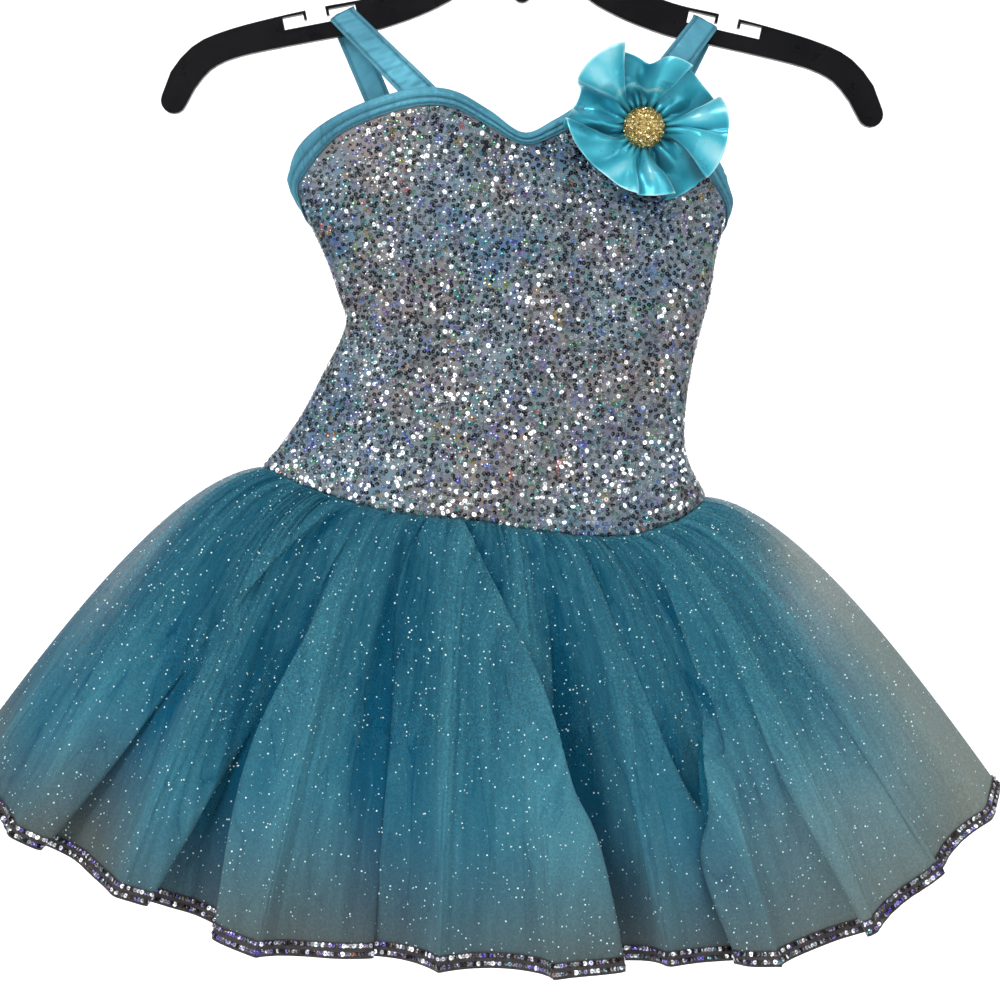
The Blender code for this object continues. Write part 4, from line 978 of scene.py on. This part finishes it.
def skirtPoints(back, layer, columns, shares, lift=0.0):
    place, share = np.broadcast_arrays(placesAcross(columns, back)[None, :], np.asarray(shares)[:, None])
    step = skirt["probe"]
    down = (skirtBase(place, np.minimum(share + step, 1.0), back, layer)
            - skirtBase(place, np.maximum(share - step, 0.0), back, layer))
    along = (skirtBase(np.minimum(place + step, 1.0), share, back, layer)
             - skirtBase(np.maximum(place - step, -1.0), share, back, layer)) * (-1 if back else 1)
    out, along = unit(np.cross(down, along)), unit(along) * (-1 if back else 1)
    out[:, [0, -1], 1] = 0.0
    out = unit(out)
    gathers = skirt["gatherDepth"] * np.minimum(share / 0.1, 1.0) * (1 - 0.7 * share)
    gathers = gathers * np.sin(math.pi * layer["waves"] * (place + 1)) * (1.0 if layer["inset"] == 0 else 0.4)
    fine = unevenWaves(41 + int(layer["waves"]) + back, place, share, 9, layer["waves"] * 1.7, 0.6)
    gathers = gathers + skirt["fineDepth"] * fine * np.minimum(share / 0.04, 1.0) * (1 - 0.55 * share)
    deep, curl = np.full(place.shape, -skirt["foldRest"]), np.zeros(place.shape)
    for at, lean, wide, depth in backFolds if back else frontFolds:
        away = (place - at - lean * share) / wide
        deep = deep + depth * bell(away)
        curl = curl - depth * away * bell(away)
    edges = 1 - place ** 8
    opening = edges * share ** skirt["foldRise"] * layer["fold"]
    # painted light and shade: fold crests lighter and valleys darker, with a slow random drift and lighter
    # gathers near the seam
    lit = skirt["litMiddle"] + deep * skirt["litPerFold"] * np.minimum(share * 2.2, 1.0)
    lit = lit + skirt["litDrift"] * unevenWaves(83, place, share, 6, 4.0, 0.7)
    lit = lit + skirt["litGathers"] * gathers * np.exp(-share / 0.24)
    deep, curl = deep * opening, curl * opening * skirt["curl"]
    for way, wide, depth in backValleys if back else frontValleys:
        centre = smoothCurve([s for s, _ in way], [p for _, p in way], share)
        dip = bell((place - centre) / wide) * np.minimum(share * 1.6, 1.0) ** 1.1
        deep = deep - depth * dip * layer["fold"]
        lit = lit - skirt["litValley"] * depth * dip
    for pleat in backPleats if back else frontPleats:
        centre = smoothCurve([s for s, _ in pleat["way"]], [p for _, p in pleat["way"]], share)
        away = (place - centre) / pleat["wide"]
        opened = np.clip((share - pleat["start"]) / (1.0 - pleat["start"]), 0, 1) ** 0.9
        opened = opened * edges * layer["fold"]
        curl = curl - pleat["lap"] * opened * away * bell(away)
        deep = deep + pleat["front"] * pleat["step"] * opened * away * np.exp(-away * away / 8)
        seen = np.clip((share - pleat["start"] + 0.08) / 0.22, 0, 1) * min(1.0, pleat["lap"] / 24.0)
        side = pleat["front"] * away
        # painted highlight on the pleat's edge and the panel in front, painted shade on the side lapped under
        lit = lit + seen * (
            skirt["litEdge"] * bell((side - 0.70) / 0.45) + skirt["litPanel"] * bell((side - 2.2) / 1.2)
            - skirt["litUnder"] * bell((side + 1.0) / 0.9))
    point = skirtBase(place, share, back, layer)
    point = point - np.stack([0 * deep, 0 * deep, skirt["foldHang"] * deep * share], axis=-1)
    moved = (point + out * (gathers * edges + deep - layer["inset"] + lift)[..., None]
             + along * (curl * edges)[..., None])
    return moved, lit, place, share


def tulleValues(layer, lit, place, share):
    # how much the net covers, how light it is, and how grey or pale it gets by the hem and the sides
    wander = 0.03 * unevenWaves(71, place, share, 6, 3.0, 0.5)
    across = np.clip((np.abs(place + 0.08) + wander - 0.62) / 0.36, 0, 1) * np.clip(share * 2.2, 0, 1)
    right = np.clip((place + wander - 0.52) / 0.44, 0, 1) * np.clip(share * 3.0, 0, 1)
    low = np.clip((share + wander - 0.52) / 0.28, 0, 1)
    if layer["inset"] == 0:
        cover = 0.64 + 0.36 * low + 0.12 * across * (1 - low) + 0.2 * np.clip((0.05 - share) / 0.05, 0, 1)
        greyed = np.clip((share + wander - 0.72) / 0.28, 0, 1) ** 1.5 * 0.9 + 0.30 * across ** 2
        paled = 0.75 * right ** 3.2 + 0.55 * low ** 2 * np.clip((place - 0.38) / 0.3, 0, 1) * (1 - right)
    else:
        fade = np.clip((share / layer["end"] + 2 * wander - 0.72) / 0.28, 0, 1)
        cover = 0.78 * (1 - fade ** 1.4) * (1 - 0.9 * np.clip((across - 0.35) / 0.65, 0, 1))
        greyed, paled = 0.3 * fade, 0.35 * right ** 2
    # painted light and shade: lighter towards the right side, a little darker towards the left. It is also
    # lighter in a thin line along the waist seam.
    lit = lit + 0.25 * np.clip((place - 0.35) / 0.4, 0, 1) - 0.05 * np.clip(-place, 0, 1)
    lit = lit + 0.5 * np.clip((0.02 - share) / 0.02, 0, 1)
    return {"cover": cover, "lit": lit, "greyed": greyed, "paled": paled}


skirtPieces = {}
for name, layer in skirtLayers.items():
    for back in (False, True):
        side = "Back" if back else "Front"
        columns = layer["columns"] * 3 // 4 if back else layer["columns"]
        shares = np.linspace(0, layer["end"], layer["rows"])
        points, lit, place, share = skirtPoints(back, layer, columns, shares)
        skirtPieces[name + side] = clothGrid(
            "skirt" + name.capitalize() + side, points, looks["tulleTop" if name == "top" else "tulleInner"],
            values=tulleValues(layer, lit, place, share))
print("skirt made")

glitter = {"density": 34000.0, "radius": 0.32, "lift": 0.3, "tilt": 0.45}
glitters = [grow("glitter" + side, skirtPieces["top" + side], flakeTree, {
    "Density": glitter["density"], "Radius": glitter["radius"] * mm, "Lift": glitter["lift"] * mm,
    "Tilt": glitter["tilt"], "Seed": 17, "Finish": looks["flake"]}) for side in ("Front", "Back")]
print("glitter made, flakes:", [len(piece.data.polygons) for piece in glitters])


# Hem trim
trim = {"start": 0.974, "rows": [0.9795, 0.9925], "lift": 0.8, "wall": 0.6, "pitch": 1.7,
        "radius": 1.2, "hole": 0.34, "cup": 0.35, "tilt": 0.5, "columns": 620,
        "bandRows": 5, "sequinLift": 0.35, "above": 0.01}


def evenAlong(points, pitch):
    steps = np.linalg.norm(np.diff(points, axis=0), axis=1)
    along = np.concatenate([[0.0], np.cumsum(steps)])
    return np.arange(pitch / 2, along[-1], pitch), along


def trimSide(back):
    side = "Back" if back else "Front"
    layer, columns = skirtLayers["top"], trim["columns"] * (3 if back else 4) // 4
    shares = np.linspace(trim["start"], 1.0, trim["bandRows"])
    rows, *_ = skirtPoints(back, layer, columns, shares, trim["lift"])
    band = clothGrid("hemTrim" + side, rows, looks["trimGround"])
    thicken(band, trim["wall"])
    spots, facing = [], []
    for share in trim["rows"]:
        rows, *_ = skirtPoints(back, layer, columns, [share - trim["above"], share],
                               trim["lift"] + trim["sequinLift"])
        out = outwardOf(rows)[1]
        at, along = evenAlong(rows[1], trim["pitch"])
        for source, kept in ((rows[1], spots), (out, facing)):
            kept.append(np.stack([np.interp(at, along, source[:, k]) for k in range(3)], axis=-1))
    mesh = bpy.data.meshes.new("trimSpots")
    mesh.from_pydata((np.concatenate(spots) * mm).tolist(), [], [])
    mesh.attributes.new("facing", "FLOAT_VECTOR", "POINT").data.foreach_set(
        "vector", np.concatenate(facing).astype(np.float32).ravel())
    base = bpy.data.objects.new("trimSpots", mesh)
    rings = grow("trimSequins" + side, base, rowTree, {
        "Radius": trim["radius"] * mm, "Hole": trim["hole"] * mm, "Cup": trim["cup"] * mm,
        "Tilt": trim["tilt"], "Seed": 23, "Finish": looks["trimSequin"]})
    return band, rings


trims = [trimSide(False), trimSide(True)]
print("hem trim made")


# Straps
straps = {
    "half": 5.9, "wall": 1.5, "tuck": 9.0, "frontSlope": 0.80, "backSlope": 0.42, "topSlope": 0.54,
    "tucked": 3.1, "arm": 2.8, "across": 21, "ripple": 0.30, "stitchAt": 0.74,
    # stitchShade, edgeShade and backShade set how much painted shade goes on the straps
    "rowStep": 1.2, "pinch": 0.42, "stitchDip": 0.45, "stitchShade": 0.55, "edgeShade": 0.3,
    "backShade": 0.25,
    "items": {
        "strapLeft": {"hangerX": -89.8, "frontX": -51.5, "frontZ": -149.0, "backX": -43.5, "backZ": -219.0},
        "strapRight": {"hangerX": 91.5, "frontX": 61.5, "frontZ": -154.0, "backX": 40.0, "backZ": -219.0},
    },
    "armOut": [71.0, 98.0, 122.0, 146.0], "armHeight": [-109.6, -115.5, -120.9, -127.4],
    "notchOut": 101.7, "notchTilt": 12.0, "notchFloor": 0.2, "hangerLean": 0.0196,
}


def notchFloor(out):
    tilt = math.radians(straps["notchTilt"])
    start = float(smoothCurve(straps["armOut"], straps["armHeight"], straps["notchOut"]))
    startX = straps["notchOut"] + math.sin(tilt) * straps["notchFloor"]
    return start + math.cos(tilt) * straps["notchFloor"] - (out - startX) * math.tan(tilt)


def sewnDepth(x, z, back, inset):
    left, right = (smoothCurve(bodyShape["height"], bodyShape[side], z) for side in ("left", "right"))
    angle = np.degrees(np.arcsin(np.clip((x - (left + right) / 2) / ((right - left) / 2), -1, 1)))
    return bodyPoint(180 - angle if back else angle, z, inset, back)[..., 1]


def strapRows(item):
    # rows across the strap from inside the front edge, over the hanger, to inside the back edge
    t = np.linspace(-1, 1, straps["across"])
    half, wall, arm = straps["half"], straps["wall"], straps["arm"]
    rise = -math.copysign(1.0, item["hangerX"])
    restsAt = item["hangerX"] - rise * half
    seat = notchFloor(abs(restsAt)) - straps["hangerLean"] * restsAt + straps["topSlope"] * half
    outer, inner = [], []

    def row(x, z, slope, outerY, innerY, outerLift=0.0, innerLift=0.0):
        for kept, y, lift in ((outer, outerY, outerLift), (inner, innerY, innerLift)):
            kept.append(np.stack(np.broadcast_arrays(x + t * half, y, z + rise * slope * t * half + lift),
                                 axis=-1))

    def sewnRow(x, z, back):
        slope = straps["backSlope" if back else "frontSlope"]
        across, heights = x + t * half, z + rise * slope * t * half
        row(x, z, slope, sewnDepth(across, heights, back, straps["tucked"]),
            sewnDepth(across, heights, back, straps["tucked"] + wall))

    def leg(back):
        x, z = (item["backX"], item["backZ"]) if back else (item["frontX"], item["frontZ"])
        side, slope = (1, straps["backSlope"]) if back else (-1, straps["frontSlope"])
        start = float(sewnDepth(x, z, back, straps["tucked"]))
        rows = []
        for n in range(1, 3):
            s = n / 3
            y = start + (side * (arm + wall) - start) * s
            rows.append((x + (item["hangerX"] - x) * s, z + (seat - z) * s,
                         slope + (straps["topSlope"] - slope) * s, y, y - side * wall))
        return rows

    def tail(x, z):
        return x + (x - item["hangerX"]) / (seat - z) * straps["tuck"], z - straps["tuck"]

    sewnRow(*tail(item["frontX"], item["frontZ"]), False)
    sewnRow(item["frontX"], item["frontZ"], False)
    for values in leg(False):
        row(*values)
    for turn in np.radians(np.linspace(0, 180, 9)):
        c, s = math.cos(turn), math.sin(turn)
        row(item["hangerX"], seat, straps["topSlope"], -(arm + wall) * c, -arm * c,
            (bodyShape["seam"] + wall) * s, bodyShape["seam"] * s)
    for values in reversed(leg(True)):
        row(*values)
    sewnRow(item["backX"], item["backZ"], True)
    sewnRow(*tail(item["backX"], item["backZ"]), True)
    return np.stack(outer), np.stack(inner)


def refine(rows, step):
    # a smooth curve through the rows, with new rows about a step apart
    gaps = np.linalg.norm(np.diff(rows.mean(axis=1), axis=0), axis=1)
    along = np.concatenate([[0.0], np.cumsum(gaps)])
    at = np.linspace(0, along[-1], int(along[-1] / step))
    flat = rows.reshape(len(rows), -1)
    return np.stack([smoothCurve(along, flat[:, k], at) for k in range(flat.shape[1])],
                    axis=-1).reshape(len(at), *rows.shape[1:]), at


def makeStrap(name, item):
    outer, inner = strapRows(item)
    (outer, at), (inner, _) = (refine(rows, straps["rowStep"]) for rows in (outer, inner))
    kept = min(len(outer), len(inner))
    outer, inner, at = outer[:kept], inner[:kept], at[:kept]
    t = np.linspace(-1, 1, straps["across"])[None, :]
    ends = straps["pinch"] * np.abs(t) ** 8
    middle = (outer + inner) / 2
    away = unit(outer - middle)
    half = np.linalg.norm(outer - middle, axis=-1)
    ripple = unevenWaves(51, at[:, None] / 60, t * 0.5, 6, 7.0, 1.6) + np.sin(at[:, None] * 1.9 + 4.0 * t)
    ripple = straps["ripple"] * ripple * (1 - t ** 6)
    stitched = straps["stitchDip"] * sum(bell((t - side * straps["stitchAt"]) / 0.10) for side in (-1, 1))
    front = middle + away * (half * (1 - ends) + ripple - stitched)[..., None]
    behind = middle - away * (half * (1 - ends) + 0.5 * ripple - stitched)[..., None]
    loop = np.concatenate([front, behind[:, ::-1]], axis=1)
    # painted shade: darker along the stitch lines and the edges, and on the back leg
    shade = straps["stitchShade"] * sum(bell((t - side * straps["stitchAt"]) / 0.09) for side in (-1, 1))
    shade = shade + straps["edgeShade"] * np.abs(t) ** 6
    shade = shade + straps["backShade"] * np.clip((at[:, None] / at[-1] - 0.5) * 8, 0, 1)
    piece = clothGrid(name, loop, looks["binding"], loop=True,
                      values={"shade": np.concatenate([shade, shade[:, ::-1]], axis=1)})
    mendMesh(piece)
    lines = []
    for side in (-1, 1):
        where = (side * straps["stitchAt"] + 1) / 2 * (straps["across"] - 1)
        low = int(where)
        share = where - low
        line = front[:, low] * (1 - share) + front[:, low + 1] * share + away[:, straps["across"] // 2] * 0.1
        lines.append(line[6:-6])
    return piece, stitchLines(name + "Stitches", lines)


strapPieces = {name: makeStrap(name, item) for name, item in straps["items"].items()}
print("straps made")


# Flower
flower = {
    "x": 60.0, "z": -168.5, "hole": 5.0, "low": 3.0, "cup": 0.55, "gathers": 23, "columns": 560, "rows": 46,
    "rimAngle": [-6, 8, 20, 38, 54, 70, 86, 104, 122, 140, 158, 176, 192, 212, 234, 256, 272, 290, 308,
                 322, 338, 354, 368],
    "rimRadius": [40.5, 41, 39, 36, 37, 35.5, 31, 40, 41, 40.5, 35.5, 40, 36, 32.5, 31.5, 33.5, 34.5,
                  36.5, 38, 39.5, 41, 40.5, 41],
    "rimStand": [18, 16.5, 10.5, 17, 21, 15, 11.5, 16.5, 19.5, 16.5, 10, 17, 13, 17, 20, 18, 14, 9.5,
                 14.5, 15, 11.5, 18, 16.5],
    # where the ribbon doubles back: degrees round, how that shifts towards the button, half width, lap
    # in degrees, step in millimetres, and which side lies in front
    "folds": [
        {"at": 20, "bend": -10, "wide": 7.0, "lap": 15, "step": 4.5, "front": -1},
        {"at": 56, "bend": 14, "wide": 9.0, "lap": 25, "step": 7.0, "front": 1},
        {"at": 106, "bend": 26, "wide": 7.0, "lap": 15, "step": 5.5, "front": 1},
        {"at": 148, "bend": -20, "wide": 8.0, "lap": 8, "step": 3.0, "front": -1},
        {"at": 178, "bend": 38, "wide": 7.5, "lap": 18, "step": 6.5, "front": 1},
        {"at": 264, "bend": -14, "wide": 5.5, "lap": 8, "step": 2.6, "front": -1},
        {"at": 291, "bend": -12, "wide": 8.0, "lap": 21, "step": 6.5, "front": -1},
        {"at": 321, "bend": 26, "wide": 8.0, "lap": 14, "step": 4.5, "front": 1},
        {"at": 354, "bend": 6, "wide": 7.0, "lap": 7, "step": 2.5, "front": -1},
    ],
    # how far a fold may sink below the plain form, and how far where the binding lies under it
    "sink": 30.0, "sinkOverBinding": 2.0, "bindingAt": 172, "bindingWide": 16,
    "wall": 0.4, "buttonRadius": 10.0, "buttonDome": 6.5, "buttonRim": 0.8, "buttonBack": 7.6,
    "flakeDensity": 2600000.0, "flakeRadius": 0.34, "flakeLift": 0.12, "flakeTilt": 0.8,
}


def flowerPlane():
    spots = [(flower["x"] + dx * flower["hole"], flower["z"] + dz * flower["hole"])
             for dx in (-1, 0, 1) for dz in (-1, 0, 1)]
    return min(float(sewnDepth(x, z, False, -bodyShape["seam"])) for x, z in spots)


def flowerPoints(plane):
    angle = np.linspace(0, 360, flower["columns"], endpoint=False)[None, :]
    share = np.linspace(0, 1, flower["rows"])[:, None]
    rim, high = (smoothCurve(flower["rimAngle"], flower[key], angle) for key in ("rimRadius", "rimStand"))
    rest = flower["low"] + (high - flower["low"]) * share * (1 + flower["cup"] * (1 - share))
    stand = rest
    turn = np.radians(angle)
    shift = 5.0 * np.sin(2 * turn + 5 * share) * share * (1 - share)
    # lit is painted light and shade on the ribbon
    lit = 0.50 + 0.10 * np.sin(3 * turn + 1.0) * share
    for fold in flower["folds"]:
        away = (angle - fold["at"] - fold["bend"] * (1 - share) ** 1.3 + 180) % 360 - 180
        away = away / (fold["wide"] * (0.55 + 0.45 * share))
        opened = np.clip((share - 0.12) / 0.5, 0, 1)
        shift = shift - fold["lap"] * opened * away * bell(away)
        stand = stand + fold["front"] * fold["step"] * opened * away * np.exp(-away * away / 6)
        side = fold["front"] * away
        stand = stand + 0.45 * fold["step"] * opened * bell((side - 1.5) / 0.9)
        # painted highlight on the fold's edge, painted shade on the side lapped under
        lit = lit + opened * min(1.0, fold["lap"] / 14) * (
            0.42 * bell((side - 0.62) / 0.16) + 0.16 * bell((side - 1.7) / 0.7)
            - 0.40 * bell((side + 0.8) / 0.8))
    gathers = np.abs(np.sin(flower["gathers"] / 2 * turn + 0.8 * np.sin(3 * turn))) ** 0.8
    gathered = np.exp(-((share - 0.2) / 0.16) ** 2)
    stand = stand + 2.0 * gathers * gathered
    # painted light and shade on the ridges and hollows of the gathers
    lit = lit + (0.5 * gathers - 0.45) * gathered
    creases = unevenWaves(61, turn / (2 * math.pi), share, 8, 9.0, 1.6)
    stand = stand + 0.9 * creases * np.sin(math.pi * share) ** 0.8
    # painted light and shade on the creases, and a painted highlight along the outer rim
    lit = lit + 0.10 * creases * share + 0.35 * bell((share - 1.0) / 0.02)
    # a tuck that runs round above the button, with a painted highlight on its edge and painted shade just
    # inside it
    tucked = 0.42 + 0.07 * np.sin(2.6 * (turn - 1.0))
    above = bell((angle - 100) / 42) ** 2
    lit = lit + above * (0.50 * bell((share - tucked) / 0.028) - 0.30 * bell((share - tucked + 0.10) / 0.07))
    stand = stand + above * 1.6 * np.tanh((share - tucked) / 0.03)
    overBinding = bell((angle - flower["bindingAt"]) / flower["bindingWide"])
    sink = flower["sink"] - (flower["sink"] - flower["sinkOverBinding"]) * overBinding
    stand = np.maximum(stand, rest - sink * share)
    around = np.radians(angle + shift)
    radius = flower["hole"] + (rim - flower["hole"]) * share
    x, z = flower["x"] + radius * np.cos(around), flower["z"] + radius * np.sin(around)
    return np.stack(np.broadcast_arrays(x, plane - stand, z), axis=-1), lit


plane = flowerPlane()
ribbonPoints, ribbonLit = flowerPoints(plane)
flowerRibbon = clothGrid("flowerRibbon", ribbonPoints, looks["ribbon"], loop=True, values={"lit": ribbonLit})
thicken(flowerRibbon, flower["wall"])


def flowerDome(plane):
    under = flower["buttonBack"]
    shank = flower["hole"] - 0.6
    profile = [(shank, 0.0), (shank, under), (flower["buttonRadius"] - 0.8, under),
               (flower["buttonRadius"], under + 0.5)]
    for turn in np.radians(np.linspace(0, 88, 16)):
        profile.append((flower["buttonRadius"] * math.cos(turn),
                        under + flower["buttonRim"] + flower["buttonDome"] * math.sin(turn)))
    turns = np.linspace(0, 2 * math.pi, 48, endpoint=False)
    rings = [np.stack([flower["x"] + radius * np.cos(turns), np.full(48, plane - height),
                       flower["z"] + radius * np.sin(turns)], axis=-1) for radius, height in profile]
    dome = clothGrid("flowerButton", np.stack(rings), looks["gold"], loop=True)
    mendMesh(dome)
    return dome


flowerButton = flowerDome(plane)
buttonGlitter = grow("buttonGlitter", flowerButton, flakeTree, {
    "Density": flower["flakeDensity"], "Radius": flower["flakeRadius"] * mm,
    "Lift": flower["flakeLift"] * mm, "Tilt": flower["flakeTilt"], "Seed": 29, "Finish": looks["goldFlake"]})
print("flower made, button flakes:", len(buttonGlitter.data.polygons))


# Hanger
def dressNode(name, look):
    piece = bpy.data.objects[frame["nodes"][name]["object"]] if name not in bpy.data.objects \
        else bpy.data.objects[name]
    for slot in piece.material_slots:
        slot.material = look


dressNode("hanger_body", blackPlasticLook())
dressNode("hanger_hook", hookSteelLook())


# Walls, the body, and the solids the pieces stand for
for piece, wall in ((bodiceFront, bodice["wall"]), (bodiceBack, bodice["wall"]),
                    (briefFront, brief["wall"]), (briefBack, brief["wall"])):
    thicken(piece, wall)

standsFor = [
    (bodiceFront, "sequin_cloth", "bodice_front"), (sequins, "sequin_cloth", None),
    (bodiceBack, "aqua_spandex", "bodice_back"),
    (bindings[0], "aqua_spandex", "binding_front"), (bindings[1], "aqua_spandex", "binding_back"),
    (bindingStitches[0], "aqua_spandex", None), (bindingStitches[1], "aqua_spandex", None),
    (briefFront, "aqua_spandex", "brief_front"), (briefBack, "aqua_spandex", "brief_back"),
    (trims[0][0], "sequin_trim", "hem_trim_front"), (trims[0][1], "sequin_trim", None),
    (trims[1][0], "sequin_trim", "hem_trim_back"), (trims[1][1], "sequin_trim", None),
    (strapPieces["strapLeft"][0], "aqua_spandex", "strap_left"),
    (strapPieces["strapRight"][0], "aqua_spandex", "strap_right"),
    (strapPieces["strapLeft"][1], "aqua_spandex", None),
    (strapPieces["strapRight"][1], "aqua_spandex", None),
    (flowerRibbon, "satin_ribbon", "flower_ribbon"), (flowerButton, "gold_glitter", "flower_button"),
    (buttonGlitter, "gold_glitter", None),
    (glitters[0], "teal_tulle", None), (glitters[1], "teal_tulle", None),
]
for name in skirtLayers:
    for side in ("Front", "Back"):
        standsFor.append((skirtPieces[name + side], "teal_tulle", f"skirt_{name}_{side.lower()}"))
for piece, slotName, node in standsFor:
    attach(piece, "root")
    if node:
        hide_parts(node)

for piece, *_ in standsFor:
    print("area", piece.name, round(clothArea(piece), 5), "triangles",
          sum(len(face.vertices) - 2 for face in piece.data.polygons))


# Floor, light and camera
stage = {"middle": 1.5, "flat": 3.2, "bend": 1.2, "wallTop": 3.4, "floor": -0.80, "around": 64}


def makeSweep():
    # pale round floor that curves up far from the garment, in metres
    flat, bend = stage["flat"], stage["bend"]
    rings = [(0.0, 0.0), (stage["middle"], 0.0), (flat, 0.0)]
    rings += [(flat + bend * math.sin(turn), bend - bend * math.cos(turn))
              for turn in np.radians(np.arange(15, 91, 15))]
    rings.append((flat + bend, stage["wallTop"]))
    turns = np.linspace(0, 2 * math.pi, stage["around"], endpoint=False)
    points = np.stack([
        np.stack([r * np.cos(turns), r * np.sin(turns), np.full_like(turns, h + stage["floor"])], axis=-1)
        for r, h in rings[::-1]]) / mm
    sweep = clothGrid("studioSweep", points, None, loop=True)
    mendMesh(sweep, close=False)
    look, *_ = startMaterial("paleFloor", {"Roughness": 0.9, "Base Color": (0.95, 0.95, 0.95, 1.0)})
    sweep.data.materials.append(look)


makeSweep()
lights = {
    "keyLight": {"at": (-1.1, -1.4, 0.9), "size": 0.8, "power": 20.0},
    "fillLight": {"at": (1.5, -1.2, 0.5), "size": 1.2, "power": 8.0},
    "rimLight": {"at": (0.3, 1.5, 0.6), "size": 1.0, "power": 8.0},
    "sparkLight": {"at": (-0.7, -1.4, 0.9), "size": 0.10, "power": 3.0},
    "wallLightLeft": {"at": (-1.4, 1.3, 1.6), "size": 1.2, "power": 45.0, "towards": (-1.0, 4.4, -0.3)},
    "wallLightRight": {"at": (1.4, 1.3, 1.6), "size": 1.2, "power": 45.0, "towards": (1.0, 4.4, -0.3)},
}
middle = (-0.01, 0.0, -0.35)
for name, light in lights.items():
    data = bpy.data.lights.new(name, "AREA")
    data.size, data.energy = light["size"], light["power"]
    lamp = bpy.data.objects.new(name, data)
    lamp.location = light["at"]
    aim = Vector(light.get("towards", middle)) - lamp.location
    lamp.rotation_euler = aim.to_track_quat("-Z", "Y").to_euler()
    scene.collection.objects.link(lamp)
world = bpy.data.worlds.new("paleRoom")
world.use_nodes = True
for key, value in {"Color": (1.0, 1.0, 1.0, 1.0), "Strength": 0.62}.items():
    world.node_tree.nodes["Background"].inputs[key].default_value = value
scene.world = world
scene.view_settings.view_transform = "Standard"

view = {"sensor": 36.0, "lens": 115.2, "at": (-0.011, -1.6, -0.352)}
cameraData = bpy.data.cameras.new("photoCamera")
cameraData.sensor_width, cameraData.lens = view["sensor"], view["lens"]
camera = bpy.data.objects.new("photoCamera", cameraData)
camera.location = view["at"]
camera.rotation_euler = (math.radians(90), 0.0, 0.0)
scene.collection.objects.link(camera)
scene.camera = camera
